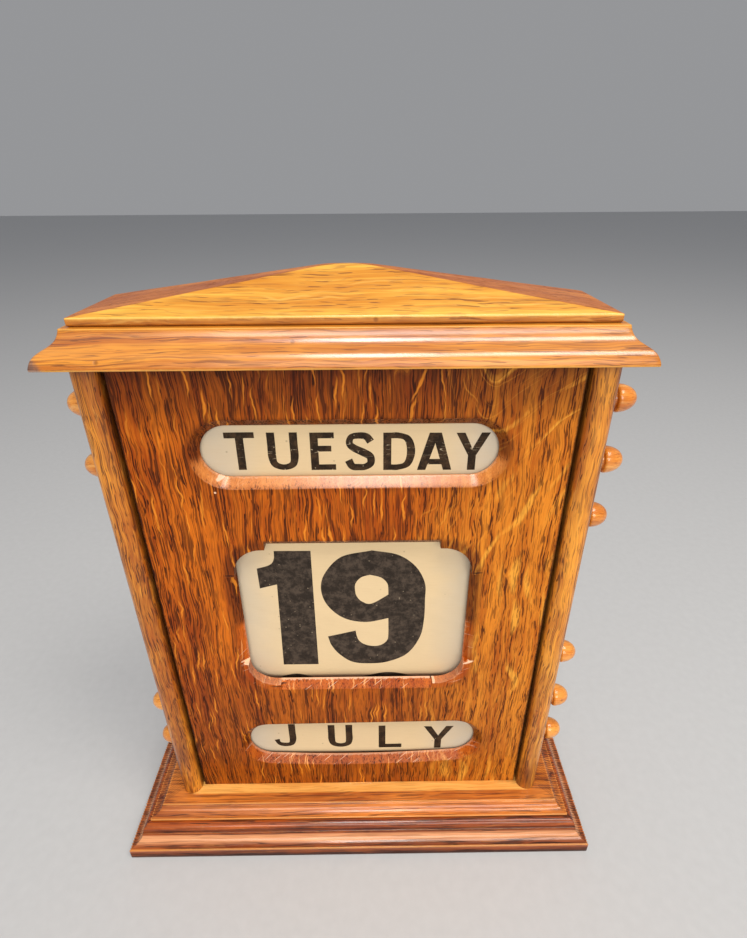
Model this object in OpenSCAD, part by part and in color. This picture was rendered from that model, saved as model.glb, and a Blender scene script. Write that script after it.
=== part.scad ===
// Perpetual desk calendar: an oak case with three windows, each showing a printed linen band
// that is wound between two wooden rollers with turned knobs. Millimetres, +Z up, front to -Y,
// origin at the middle of the underside of the base.

/* [Case] */
// Width over the two side boards
case_w = 204.4; // [180:0.1:240]
// Depth of a side board, front to back
side_d = 50; // [48:0.5:80]
// Thickness of a side board
side_t = 10.8; // [7:0.1:12]
// Thickness of the back panel
back_t = 4; // [3:0.1:8]

/* [Front panel] */
// Thickness of the front panel
panel_t = 4.5; // [3.5:0.1:6]
// How far the panel is set back from the front of the side boards
panel_recess = 5.3; // [2:0.1:8]
// Open joint between the panel and each side board
panel_joint = 1; // [0.4:0.1:2]
// Width and depth of the battens that carry the panel
batten_s = 6; // [4:0.1:6.5]

/* [Windows] */
// Width of the weekday window
name_window_w = 122; // [90:1:126]
// Height of the weekday window
name_window_h = 23.2; // [16:0.1:26]
// How much wider the month window is cut
month_more_w = 3; // [0:0.1:4]
// How much taller the month window is cut
month_more_h = 2.4; // [0:0.1:3]
// How far right of the middle the month window lies
month_shift = 2; // [-3:0.1:3]
// How much the month window rises to the right, in degrees
month_tilt = 0.6; // [-1:0.1:1]
// How far the worn sill of the month window hangs in the middle
month_sag = 2.2; // [0.4:0.1:4]
// Width of the date window
date_window_w = 107.6; // [80:0.1:120]
// Height of the date window
date_window_h = 84.8; // [70:0.1:85]
// Radius of the corners of the date window
date_corner_r = 13; // [6:0.5:20]
// Width of the bevels round the windows
bevel_w = 4; // [1:0.1:5]
// Square edge left behind the bevels
bevel_land = 0.6; // [0.3:0.1:2]
// How much higher the bevel cuts at the top of the date window
date_top_cut = 0.9; // [0:0.1:2]
// Height of the panel between the cornice and the weekday window
top_rail = 27.9; // [22:0.1:40]
// Height of the panel between the weekday and the date window
upper_rail = 35.3; // [31:0.1:50]
// Height of the panel between the date and the month window
lower_rail = 36.5; // [30:0.1:50]
// Height of the panel between the month window and the base
foot_rail = 23.3; // [17:0.1:40]

/* [Linen bands] */
// Thickness of the linen
linen_t = 0.15; // [0.08:0.01:0.18]
// Space between the linen and each side board
linen_inset = 13.4; // [10:0.1:24]
// Spacing of the weekday and month names along their bands
name_step = 27; // [24:0.5:30]
// Spacing of the dates along their band
date_step = 79; // [76:0.5:92]
// Blank linen at each end of a band
leader = 40; // [20:1:80]

/* [Rollers] */
// Diameter of the weekday and month rollers
name_roller_d = 22; // [16:0.5:24]
// Diameter of the date rollers
date_roller_d = 20; // [14:0.5:22]
// Extra spacing of the weekday and month rollers over the window's height
name_roller_over = 5.4; // [2:0.1:7]
// Extra spacing of the date rollers over the window's height
date_roller_over = 3.8; // [1:0.1:5]
// How far the weekday rollers' middle sits above their window's middle
day_lift = 2.4; // [0:0.1:3]
// How far the date rollers' middle sits above their window's middle
date_lift = 2.7; // [0:0.1:3]
// How far the month rollers' middle sits above their window's middle
month_lift = 2.9; // [0:0.1:3]
// Diameter of the knobs' shanks, which run in the side boards
journal_d = 6; // [4:0.1:7]
// How far a shank or pin reaches into its roller
shank_hold = 14; // [6:1:30]
// Diameter of the shoulders against the side boards
shoulder_d = 10; // [8:0.1:12]
// Bare roller beyond the linen at each end
roller_margin = 3; // [1:0.5:4]

/* [Knobs] */
// Diameter of a knob's head
knob_d = 12.2; // [10:0.1:16]
// Length of a knob's domed head
head_len = 9.2; // [6:0.1:12]
// Length of the neck between the side board and the head of a right knob
neck_len = 7.4; // [4:0.1:12]
// Length of the shorter neck of a left knob
left_neck_len = 4.6; // [3:0.1:12]
// Diameter of the neck
neck_d = 8; // [7.6:0.1:9]

/* [Base] */
// Thickness of the lower base board
lower_t = 16.6; // [14:0.1:20]
// Thickness of the upper base board
upper_t = 5.9; // [5.6:0.1:9]
// How far the top edge of the base stands out in front of the case
base_step = 6.3; // [3:0.1:12]
// Extra width of the base on each side, over its front step
base_side_extra = 3.1; // [0:0.1:8]
// How far the base runs behind the case
base_back = 2; // [1.8:0.1:6]

/* [Cornice and pediment] */
// Thickness of the cornice board
cornice_t = 12.6; // [10:0.1:18]
// How far the cornice's lower edge stands out in front of the case
cornice_out = 7.8; // [4:0.1:12]
// Extra width of the cornice on each side, over its front overhang
cornice_side_extra = 0; // [0:0.1:5]
// Height of the pediment's straight edge
pediment_edge = 3.2; // [2:0.1:6]
// Height of the pediment's slopes above that edge, before the apex is rounded
pediment_rise = 15.8; // [8:0.1:24]
// Top of the cornice left bare in front of the pediment
pediment_front_reveal = 2.8; // [1:0.1:8]
// Top of the cornice left bare behind the pediment
pediment_back_reveal = 5.2; // [1:0.1:10]
// Top of the cornice left bare at each end of the pediment
pediment_end_reveal = 2; // [1:0.1:8]

/* [Screws] */
// Shank diameter of the long wood screws
screw_d = 4; // [3:0.1:4.5]
// How far the long screws run into the side boards
screw_hold = 16; // [10:1:25]
// Shank diameter of the back panel screws
back_screw_d = 2.8; // [2:0.1:3.2]
// How far the back panel screws run into the side boards
back_screw_hold = 10; // [6:1:14]

/* [Hidden] */
$fn = 64;

// Clearances
eps = 0.02;              // cut past a face, so that no skin is left
run_clear = 0.08;        // radial clearance of a journal in its bore
glue_clear = 0.02;       // radial clearance of a glued pin
end_gap = 0.5;           // air left at the bottom of a blind hole
end_play = 0.3;          // end play of a roller between the side boards
roll_clear = 0.3;        // between a wound roll and the flat stretch of its band
panel_clear = 0.7;       // between a full roll and the back of the front panel
screw_clear = 0.1;       // radial clearance round a screw
arc_n = 10;              // straight pieces in a quarter round of a moulding

// The base's front moulding: run and drop of each member, from the top arris down
arris_drop = 0.8;        // square under the top arris
arris_run = 0.4;
upper_cove_run = 4.7;
upper_cove_drop = 3.6;
upper_lip_run = 0.6;
upper_lip_drop = 0.8;
quirk = 0.4;             // shadow step under the upper lip
ovolo = 3.3;             // small round at the top of the lower board
ovolo_drop = 1;          // square under the small round
lower_step = 0.4;        // step from the small round out to the cove
lower_cove_run = 4.9;
lower_cove_drop = 5.2;
lower_lip_run = 0.7;
nosing = 0.6;            // rounding of the base's bottom edge
lip_out = base_step + arris_run + upper_cove_run + upper_lip_run;
round_out = lip_out + quirk + ovolo;
base_out = round_out + lower_step + lower_cove_run + lower_lip_run + nosing;

// Heights above the surface, and depths from the front of the side boards
base_h = lower_t + upper_t;
month_mid = base_h + foot_rail + name_window_h / 2;
date_mid = month_mid + name_window_h / 2 + lower_rail + date_window_h / 2;
day_mid = date_mid + date_window_h / 2 + upper_rail + name_window_h / 2;
cornice_z = day_mid + name_window_h / 2 + top_rail;
side_h = cornice_z - base_h;
pediment_z = cornice_z + cornice_t;
case_d = side_d + back_t;
base_d = base_out + case_d + base_back;
front_y = base_out - base_d / 2;
back_y = front_y + case_d;
panel_y = front_y + panel_recess;
panel_back = panel_y + panel_t;
inner_w = case_w - 2 * side_t;

// Linen bands: entries already wound on the upper roller, and entries still on the lower one
day_above = 2;
day_below = 4;
date_above = 18;
date_below = 12;
month_above = 6;
month_below = 5;
web_t = 0.4;             // closed solid that stands for the flat stretch of a band
web_reach = 3;           // flat stretch beyond the two roller axes
linen_w = inner_w - 2 * linen_inset;
roller_w = linen_w + 2 * roller_margin;

// Radius of a roll that holds a number of entries at a spacing, wound on a core
function roll_r(core, entries, step) =
    sqrt(core * core / 4 + (entries * step + leader) * linen_t / PI);

name_full_r = roll_r(name_roller_d, month_above + month_below, name_step);
date_full_r = roll_r(date_roller_d, date_above + date_below, date_step);
name_axis_y = panel_back + panel_clear + name_full_r + web_t;
date_axis_y = panel_back + panel_clear + date_full_r;
name_pitch = max(name_window_h + name_roller_over, 2 * name_full_r + 2);
date_pitch = max(date_window_h + date_roller_over, 2 * date_full_r + 2);

// One band: middle of its window and of its rollers, axis depth, roller spacing, core diameter,
// entries wound on the upper and on the lower roller, spacing of the entries
DAY = [day_mid, day_mid + day_lift, name_axis_y, name_pitch, name_roller_d,
    day_above, day_below, name_step];
DATE = [date_mid, date_mid + date_lift, date_axis_y, date_pitch, date_roller_d,
    date_above, date_below, date_step];
MONTH = [month_mid, month_mid + month_lift, name_axis_y, name_pitch, name_roller_d,
    month_above, month_below, name_step];
BANDS = [DAY, DATE, MONTH];
UPPER = 1;
LOWER = -1;

function window_z(band) = band[0];
function axis_z(band, place) = band[1] + place * band[3] / 2;
function axis_y(band) = band[2];
function core_d(band) = band[4];
function wound_r(band, place) = roll_r(core_d(band), place == UPPER ? band[5] : band[6], band[7]);

// Quarter of an ellipse about (cx, cz), as points from angle a0 to a1
function arc(cx, cz, rx, rz, a0, a1) =
    [for (i = [0 : arc_n]) let (a = a0 + (a1 - a0) * i / arc_n) [cx + rx * cos(a), cz + rz * sin(a)]];

// Edge profiles, each a list of [distance out from the case, height] from the top down
function upper_edge() = concat(
    [[base_step, base_h], [base_step, base_h - arris_drop]],
    arc(base_step + arris_run + upper_cove_run, base_h - arris_drop,
        upper_cove_run, upper_cove_drop, 180, 270),
    [[lip_out, base_h - arris_drop - upper_cove_drop],
     [lip_out, base_h - arris_drop - upper_cove_drop - upper_lip_drop],
     [lip_out - quirk, lower_t]]
);

function lower_edge() = concat(
    arc(round_out - ovolo, lower_t - ovolo, ovolo, ovolo, 90, 0),
    [[round_out, lower_t - ovolo - ovolo_drop]],
    arc(round_out + lower_step + lower_cove_run, lower_t - ovolo - ovolo_drop,
        lower_cove_run, lower_cove_drop, 180, 270),
    arc(base_out - nosing, lower_t - ovolo - ovolo_drop - lower_cove_drop - nosing, nosing, nosing, 90, 0),
    [[base_out, nosing], [base_out - nosing, 0]]
);

// The cornice's ogee: a straight line from the top arris to the lower edge, bent by one sine wave
ogee_top = [-1.2, 0.5];       // out from the case, and below the top of the board
ogee_low = 0.8;               // height of the square below the ogee
ogee_bend = 0.95;
ogee_n = 20;
ogee_from = [ogee_top[0], pediment_z - ogee_top[1]];
ogee_to = [cornice_out, cornice_z + ogee_low];
ogee_len = norm(ogee_to - ogee_from);
ogee_side = [ogee_to[1] - ogee_from[1], ogee_from[0] - ogee_to[0]] / ogee_len;

function cornice_edge() = concat(
    [[ogee_top[0], pediment_z]],
    [for (i = [0 : ogee_n]) let (t = i / ogee_n)
        ogee_from + t * (ogee_to - ogee_from) + ogee_bend * sin(360 * t) * ogee_side],
    [[cornice_out, cornice_z]]
);

// A board moulded on its front and both sides, with a plain back face at y = rear
module moulded_board(edge, side_extra, rear) {
    last = len(edge) - 1;
    half = case_w / 2 + side_extra;
    right = [for (p = edge) [half + p[0], p[1]]];
    left = [for (i = [last : -1 : 0]) [-half - edge[i][0], edge[i][1]]];
    front = [for (p = edge) [front_y - p[0], p[1]]];
    intersection() {
        translate([0, base_d, 0])
        rotate([90, 0, 0])
        linear_extrude(2 * base_d)
        polygon(concat(right, left));
        translate([-case_w, 0, 0])
        rotate([90, 0, 90])
        linear_extrude(2 * case_w)
        polygon(concat(front, [[rear, edge[last][1]], [rear, edge[0][1]]]));
    }
}

// A cylinder along X, from x0 to x1
module rod(x0, x1, y, z, d) {
    translate([x0, y, z])
    rotate([0, 90, 0])
    cylinder(h = x1 - x0, d = d);
}

// Wood screw with a countersunk head, its point up, the head's face at z = 0
head_d = 2 * screw_d;
tip_d = 0.4;
module wood_screw(length, grow = 0) {
    tip_z = length - screw_d;
    slope = (head_d - screw_d) / 2;
    cylinder(h = tip_z, d = screw_d + 2 * grow);
    translate([0, 0, tip_z - eps])
    cylinder(h = screw_d + eps + grow, d1 = screw_d + 2 * grow, d2 = tip_d + 2 * grow);
    translate([0, 0, -grow])
    cylinder(h = slope + grow, d1 = head_d + 2 * grow, d2 = screw_d + 2 * grow);
}

// The four places of the screws, over the middle of each side board
screw_x = (case_w - side_t) / 2;
screw_inset = 12;        // from the front and back edges of a side board
screw_ys = [front_y + screw_inset, front_y + side_d - screw_inset];
module at_screws() {
    for (x = [-screw_x, screw_x], y = screw_ys)
        translate([x, y, 0])
        children();
}

screw_sink = 0.4;        // heads sit this far below the surface
base_screw_len = base_h + screw_hold;
cornice_screw_len = cornice_t + screw_hold;
module base_screw_shapes(grow = 0) {
    at_screws()
    translate([0, 0, screw_sink])
    wood_screw(base_screw_len - screw_sink, grow);
}

module cornice_screw_shapes(grow = 0) {
    at_screws()
    translate([0, 0, pediment_z - screw_sink])
    mirror([0, 0, 1])
    wood_screw(cornice_screw_len - screw_sink, grow);
}

// Back panel screws: three up each side board, with low domed heads outside the panel
back_head_d = 2 * back_screw_d;
back_head_h = 1.4;
back_screw_inset = 26;
back_screw_zs = [for (i = [0 : 2]) base_h + back_screw_inset + i * (side_h - 2 * back_screw_inset) / 2];
module back_screw_shapes(grow = 0) {
    for (x = [-screw_x, screw_x], z = back_screw_zs)
        translate([x, back_y, z])
        rotate([90, 0, 0])
        cylinder(h = back_t + back_screw_hold + grow, d = back_screw_d + 2 * grow);
}

module base_lower_board() {
    color("sienna")
    difference() {
        moulded_board(lower_edge(), base_side_extra, back_y + base_back);
        base_screw_shapes(screw_clear);
        at_screws()
        translate([0, 0, -eps])
        cylinder(h = screw_sink + 2 * eps, d = head_d + 2 * screw_clear);
    }
}

module base_upper_board() {
    color("peru")
    difference() {
        moulded_board(upper_edge(), base_side_extra, back_y + base_back);
        base_screw_shapes(screw_clear);
    }
}

module base_screws() {
    color("darkkhaki")
    base_screw_shapes();
}

// Side board: plan with a full half-round front edge, bored for the six journals
module side_board(side) {
    nose_r = side_t / 2;
    difference() {
        translate([side * screw_x, 0, base_h])
        linear_extrude(side_h)
        union() {
            translate([-nose_r, front_y + nose_r])
            square([side_t, side_d - nose_r]);
            translate([0, front_y + nose_r])
            circle(r = nose_r);
        }
        for (band = BANDS, place = [UPPER, LOWER])
            rod(side * screw_x - side_t, side * screw_x + side_t, axis_y(band), axis_z(band, place),
                journal_d + 2 * run_clear);
        base_screw_shapes(screw_clear);
        cornice_screw_shapes(screw_clear);
        back_screw_shapes(screw_clear);
    }
}

module left_side_board() {
    color("goldenrod")
    side_board(-1);
}

module right_side_board() {
    color("goldenrod")
    side_board(1);
}

// A prism through the panel: square land behind, bevel widening to the front
// half_in and half_out are its half height at the back and at the front face
module bevel_prism(len_x, half_in, half_out) {
    bevel_y = panel_back - bevel_land;
    translate([-len_x / 2, 0, 0])
    rotate([90, 0, 90])
    linear_extrude(len_x)
    polygon([
        [panel_y - eps, -half_out], [panel_y - eps, half_out], [bevel_y, half_in],
        [panel_back + eps, half_in], [panel_back + eps, -half_in], [bevel_y, -half_in]
    ]);
}

// Round hole through the panel with a bevel that widens from r to wide_r at the front face
module bevel_hole(x, z, r, wide_r) {
    translate([x, panel_y - eps, z])
    rotate([-90, 0, 0]) {
        cylinder(h = panel_t + 2 * eps, r = r);
        cylinder(h = panel_t - bevel_land + eps, r1 = wide_r, r2 = r);
    }
}

// Weekday and month windows: round ended, bevelled all round
module name_window(w, h) {
    r = h / 2;
    straight = w - h;
    bevel_prism(straight, r, r + bevel_w);
    for (x = [-straight / 2, straight / 2])
        bevel_hole(x, 0, r, r + bevel_w);
}

// Sill that hangs in the middle: the foot of one large bevelled hole, ending a little inside the
// window's round ends
module worn_sill(w, h, sag) {
    half = (w - h) / 2 + 0.5;
    sag_r = (half * half + sag * sag) / (2 * sag);
    rise = sag_r - sag;
    wide_r = sqrt((rise + bevel_w) * (rise + bevel_w) + half * half);
    intersection() {
        bevel_hole(0, rise - h / 2, sag_r, wide_r, $fn = 720);
        translate([-half - 0.7, panel_y - 1, -h])
        cube([2 * half + 1.4, panel_t + 2, h]);
    }
}

// The month window was cut by hand: larger than the weekday window, out of line and worn at the sill
month_more_z = 0.95;     // its middle above the place of an equal window
module month_window(z) {
    w = name_window_w + month_more_w;
    h = name_window_h + month_more_h;
    translate([month_shift, 0, z + month_more_z])
    rotate([0, -month_tilt, 0]) {
        name_window(w, h);
        worn_sill(w, h, month_sag);
    }
}

// Date window: round cornered, with stopped bevels along its straight sides only
side_bevel_h = 55;       // longest bevels at the two sides
top_bevel_w = 78;        // longest bevels at the top and the bottom
module date_window(z) {
    w = date_window_w;
    h = date_window_h;
    r = date_corner_r;
    translate([0, panel_back + eps, z])
    rotate([90, 0, 0])
    linear_extrude(panel_t + 2 * eps)
    union() {
        square([w - 2 * r, h], center = true);
        square([w, h - 2 * r], center = true);
        for (sx = [-1, 1], sz = [-1, 1])
            translate([sx * (w / 2 - r), sz * (h / 2 - r)])
            circle(r = r);
    }
    cut_top = h / 2 + date_top_cut;
    level_w = min(top_bevel_w, w - 2 * r);
    translate([0, 0, z])
    intersection() {
        bevel_prism(level_w, cut_top, cut_top + bevel_w);
        translate([-w, panel_y - 1, 0])
        cube([2 * w, panel_t + 2, h]);
    }
    translate([0, 0, z])
    intersection() {
        bevel_prism(level_w, h / 2, h / 2 + bevel_w);
        translate([-w, panel_y - 1, -h])
        cube([2 * w, panel_t + 2, h]);
    }
    translate([0, 0, z])
    rotate([0, 90, 0])
    bevel_prism(min(side_bevel_h, h - 2 * r), w / 2, w / 2 + bevel_w);
}

panel_w = inner_w - 2 * panel_joint;
module front_panel() {
    color("chocolate")
    difference() {
        translate([-panel_w / 2, panel_y, base_h])
        cube([panel_w, panel_t, side_h]);
        translate([0, 0, window_z(DAY)])
        name_window(name_window_w, name_window_h);
        date_window(window_z(DATE));
        month_window(window_z(MONTH));
    }
}

module panel_batten(side) {
    translate([side * (inner_w - batten_s) / 2 - batten_s / 2, panel_back, base_h])
    cube([batten_s, batten_s, side_h]);
}

module left_panel_batten() {
    color("burlywood")
    panel_batten(-1);
}

module right_panel_batten() {
    color("burlywood")
    panel_batten(1);
}

module back_panel() {
    color("peru")
    difference() {
        translate([-case_w / 2, back_y - back_t, base_h])
        cube([case_w, back_t, side_h]);
        back_screw_shapes(screw_clear);
    }
}

module back_panel_screws() {
    color("gold") {
        back_screw_shapes();
        for (x = [-screw_x, screw_x], z = back_screw_zs)
            translate([x, back_y, z])
            rotate([-90, 0, 0])
            cylinder(h = back_head_h, d1 = back_head_d, d2 = 0.6 * back_head_d);
    }
}

// Roller: body for the linen, a shoulder against each side board, and a blind hole in each end
shoulder_x = inner_w / 2 - end_play;
module roller(band, place) {
    y = axis_y(band);
    z = axis_z(band, place);
    difference() {
        union() {
            rod(-roller_w / 2, roller_w / 2, y, z, core_d(band));
            rod(-shoulder_x, shoulder_x, y, z, shoulder_d);
        }
        for (side = [-1, 1])
            translate([side * (shoulder_x + eps), y, z])
            rotate([0, -side * 90, 0])
            cylinder(h = shank_hold + end_gap + eps, d = journal_d + 2 * glue_clear);
    }
}

// Linen wound on a roller
module linen_roll(band, place) {
    y = axis_y(band);
    z = axis_z(band, place);
    difference() {
        rod(-linen_w / 2, linen_w / 2, y, z, 2 * wound_r(band, place));
        rod(-linen_w, linen_w, y, z, core_d(band) + 2 * glue_clear);
    }
}

// Turned knob, from its shank outwards: the shank runs through the side board into the roller,
// then come a collar, a waisted neck and a domed head
collar_h = 1;            // straight part of the neck at the side board
waist = 0.6;             // how much the neck narrows in its middle
head_rim = 0.8;          // length of the bevel under the head
head_chamfer = 0.5;      // width of that bevel
module knob(band, place, side) {
    reach = side < 0 ? left_neck_len : neck_len;
    shank = case_w / 2 + end_play - shoulder_x + shank_hold;
    neck = [for (i = [0 : arc_n]) let (t = i / arc_n)
        [neck_d / 2 - waist * sin(180 * t), collar_h + t * (reach - 2 * collar_h)]];
    dome = [for (i = [0 : arc_n - 1]) let (a = 90 * i / arc_n)
        [knob_d / 2 * pow(cos(a), 0.9), reach + head_rim + (head_len - head_rim) * sin(a)]];
    translate([side * (case_w / 2 + end_play), axis_y(band), axis_z(band, place)])
    rotate([0, side * 90, 0])
    rotate_extrude()
    polygon(concat(
        [[0, -shank], [journal_d / 2, -shank], [journal_d / 2, 0], [neck_d / 2, 0]],
        neck,
        [[neck_d / 2, reach], [knob_d / 2 - head_chamfer, reach]],
        dome,
        [[0, reach + head_len]]
    ));
}

// Plain pin in place of a left knob: it ends flush with the outside of the side board
module pivot_pin(band, place) {
    rod(-case_w / 2, -shoulder_x + shank_hold, axis_y(band), axis_z(band, place), journal_d);
}

// Flat stretch of a band, just in front of its two rolls
module linen_band(band) {
    top = axis_z(band, UPPER);
    low = axis_z(band, LOWER);
    top_y = axis_y(band) - wound_r(band, UPPER) - roll_clear;
    low_y = axis_y(band) - wound_r(band, LOWER) - roll_clear;
    lean = (low_y - top_y) / (top - low) * web_reach;
    translate([-linen_w / 2, 0, 0])
    rotate([90, 0, 90])
    linear_extrude(linen_w)
    polygon([
        [top_y - lean, top + web_reach], [low_y + lean, low - web_reach],
        [low_y + lean - web_t, low - web_reach], [top_y - lean - web_t, top + web_reach]
    ]);
}

module day_upper_roller() {
    color("wheat")
    roller(DAY, UPPER);
}

module day_upper_linen_roll() {
    color("beige")
    linen_roll(DAY, UPPER);
}

module day_upper_left_knob() {
    color("orange")
    knob(DAY, UPPER, -1);
}

module day_upper_right_knob() {
    color("orange")
    knob(DAY, UPPER, 1);
}

module day_lower_roller() {
    color("wheat")
    roller(DAY, LOWER);
}

module day_lower_linen_roll() {
    color("beige")
    linen_roll(DAY, LOWER);
}

module day_lower_left_knob() {
    color("orange")
    knob(DAY, LOWER, -1);
}

module day_lower_right_knob() {
    color("orange")
    knob(DAY, LOWER, 1);
}

module date_upper_roller() {
    color("wheat")
    roller(DATE, UPPER);
}

module date_upper_linen_roll() {
    color("beige")
    linen_roll(DATE, UPPER);
}

module date_upper_left_pin() {
    color("tan")
    pivot_pin(DATE, UPPER);
}

module date_upper_right_knob() {
    color("orange")
    knob(DATE, UPPER, 1);
}

module date_lower_roller() {
    color("wheat")
    roller(DATE, LOWER);
}

module date_lower_linen_roll() {
    color("beige")
    linen_roll(DATE, LOWER);
}

module date_lower_left_pin() {
    color("tan")
    pivot_pin(DATE, LOWER);
}

module date_lower_right_knob() {
    color("orange")
    knob(DATE, LOWER, 1);
}

module month_upper_roller() {
    color("wheat")
    roller(MONTH, UPPER);
}

module month_upper_linen_roll() {
    color("beige")
    linen_roll(MONTH, UPPER);
}

module month_upper_left_knob() {
    color("orange")
    knob(MONTH, UPPER, -1);
}

module month_upper_right_knob() {
    color("orange")
    knob(MONTH, UPPER, 1);
}

module month_lower_roller() {
    color("wheat")
    roller(MONTH, LOWER);
}

module month_lower_linen_roll() {
    color("beige")
    linen_roll(MONTH, LOWER);
}

module month_lower_left_knob() {
    color("orange")
    knob(MONTH, LOWER, -1);
}

module month_lower_right_knob() {
    color("orange")
    knob(MONTH, LOWER, 1);
}

module day_linen_band() {
    color("ivory")
    linen_band(DAY);
}

module date_linen_band() {
    color("ivory")
    linen_band(DATE);
}

module month_linen_band() {
    color("ivory")
    linen_band(MONTH);
}

module cornice_board() {
    color("orange")
    difference() {
        moulded_board(cornice_edge(), cornice_side_extra, back_y);
        cornice_screw_shapes(screw_clear);
        at_screws()
        translate([0, 0, pediment_z - screw_sink - eps])
        cylinder(h = screw_sink + 2 * eps, d = head_d + 2 * screw_clear);
    }
}

module cornice_screws() {
    color("darkkhaki")
    cornice_screw_shapes();
}

// Low hipped block: one section along each axis, each with its ridge rounded over
pediment_half_w = case_w / 2 + cornice_side_extra + ogee_top[0] - pediment_end_reveal;
pediment_front = front_y - ogee_top[0] + pediment_front_reveal;
pediment_back = back_y - pediment_back_reveal;
edge_break = 0.8;        // rounded lower edge, which leaves a shadow line on the cornice
ridge_break_x = 12;      // half the width that the rounded apex takes, along the front
ridge_break_y = 2.3;     // and from front to back
ridge_n = 4;             // straight pieces in each half of the rounding

function gable(half, brk) =
    let (top = pediment_edge + pediment_rise, slope = pediment_rise / half)
    concat(
        [[half - edge_break, 0], [half, edge_break], [half, pediment_edge]],
        [for (i = [-ridge_n : ridge_n]) let (t = i / ridge_n)
            [-t * brk, top - slope * brk / 2 * (1 + t * t)]],
        [[-half, pediment_edge], [-half, edge_break], [-half + edge_break, 0]]
    );

module pediment_block() {
    half_d = (pediment_back - pediment_front) / 2;
    mid_y = (pediment_back + pediment_front) / 2;
    color("orange")
    translate([0, mid_y, pediment_z])
    intersection() {
        translate([0, half_d, 0])
        rotate([90, 0, 0])
        linear_extrude(2 * half_d)
        polygon(gable(pediment_half_w, ridge_break_x));
        translate([-pediment_half_w, 0, 0])
        rotate([90, 0, 90])
        linear_extrude(2 * pediment_half_w)
        polygon(gable(half_d, ridge_break_y));
    }
}

base_lower_board();
base_upper_board();
base_screws();
left_side_board();
right_side_board();
front_panel();
left_panel_batten();
right_panel_batten();
back_panel();
back_panel_screws();
day_upper_roller();
day_upper_linen_roll();
day_upper_left_knob();
day_upper_right_knob();
day_lower_roller();
day_lower_linen_roll();
day_lower_left_knob();
day_lower_right_knob();
date_upper_roller();
date_upper_linen_roll();
date_upper_left_pin();
date_upper_right_knob();
date_lower_roller();
date_lower_linen_roll();
date_lower_left_pin();
date_lower_right_knob();
month_upper_roller();
month_upper_linen_roll();
month_upper_left_knob();
month_upper_right_knob();
month_lower_roller();
month_lower_linen_roll();
month_lower_left_knob();
month_lower_right_knob();
day_linen_band();
date_linen_band();
month_linen_band();
cornice_board();
cornice_screws();
pediment_block();
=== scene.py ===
"""Perpetual desk calendar: oak case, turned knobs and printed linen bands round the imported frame.

Sizes in the sections are in millimetres, +Z up, front to -Y; meshes are made in metres.
"""
import math

import bmesh
import bpy
import numpy as np
from mathutils import Matrix


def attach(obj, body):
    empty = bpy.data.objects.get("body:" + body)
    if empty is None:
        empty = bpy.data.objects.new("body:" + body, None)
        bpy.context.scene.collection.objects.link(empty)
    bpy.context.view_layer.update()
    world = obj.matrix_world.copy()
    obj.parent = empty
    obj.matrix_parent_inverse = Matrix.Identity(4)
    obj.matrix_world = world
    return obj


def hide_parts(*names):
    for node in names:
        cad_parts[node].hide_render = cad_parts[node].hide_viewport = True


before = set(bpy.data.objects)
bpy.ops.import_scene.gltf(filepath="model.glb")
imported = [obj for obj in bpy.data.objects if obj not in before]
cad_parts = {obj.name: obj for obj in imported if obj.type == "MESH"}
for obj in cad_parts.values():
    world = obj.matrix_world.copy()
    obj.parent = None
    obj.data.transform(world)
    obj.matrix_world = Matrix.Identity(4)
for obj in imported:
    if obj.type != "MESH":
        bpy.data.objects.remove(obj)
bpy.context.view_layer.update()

# ----------------------------------------
# Lower base board. One thick oak board with its moulding cut on the front and
# both ends: a small round, a cove and a thin nosed edge. Four long screws go up
# through it into the sides. The cutter chattered on the end grain.
MM = 0.001                # metres
FRONT_Y = -16.85          # front of the side boards
BASE_BACK_Y = 39.15
BASE_HALF = 105.3         # half width that the base's end mouldings start from
LOWER_TOP = 16.6
SCREW_SPOTS = [(x, y) for x in (-96.8, 96.8) for y in (-4.85, 21.15)]
SCREW_HEAD_R, SCREW_SHANK_R = 4.1, 2.1
CORNER = 5                # points in each rounded corner of a board's outline


def waver(t, pitch, seed):
    """Unevenness of handwork, about -1 to 1: three sines near one pitch, of unrelated lengths."""
    a, b, c = np.random.default_rng(seed).uniform(0, 2 * math.pi, 3)
    k = 2 * math.pi / pitch
    return 0.45 * np.sin(k * t + a) + 0.35 * np.sin(1.73 * k * t + b) + 0.2 * np.sin(2.91 * k * t + c)


def quarter(cx, cz, rx, rz, a0, a1, n=7):
    """Points of an ellipse's arc about (cx, cz), from angle a0 to a1 in degrees."""
    a = np.radians(np.linspace(a0, a1, n))
    return np.stack([cx + rx * np.cos(a), cz + rz * np.sin(a)], -1)


def eased(path, r, n=3):
    """Profile with its corners eased: each is swapped for a parabola cut r back along both sides."""
    before, corner, after = path[:-2], path[1:-1], path[2:]
    back, on = before - corner, after - corner
    lb, lo = (np.linalg.norm(v, axis=1, keepdims=True) for v in (back, on))
    cut = np.minimum(r, 0.45 * np.minimum(lb, lo))
    a, b = corner + back / lb * cut, corner + on / lo * cut
    t = np.linspace(0, 1, n)[None, :, None]
    bend = (1 - t) ** 2 * a[:, None] + 2 * t * (1 - t) * corner[:, None] + t ** 2 * b[:, None]
    return np.vstack([path[:1], bend.reshape(-1, 2), path[-1:]])


def stepped(path, gap=0.9):
    """Two more rows a little way in from the ends of each long straight run, so that wear stays local."""
    rows = [path[0]]
    for a, b in zip(path[:-1], path[1:]):
        t = gap / max(np.linalg.norm(b - a), 1e-6)
        rows += [a + (b - a) * t, b - (b - a) * t, b] if t < 0.4 else [b]
    return np.array(rows)


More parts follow.
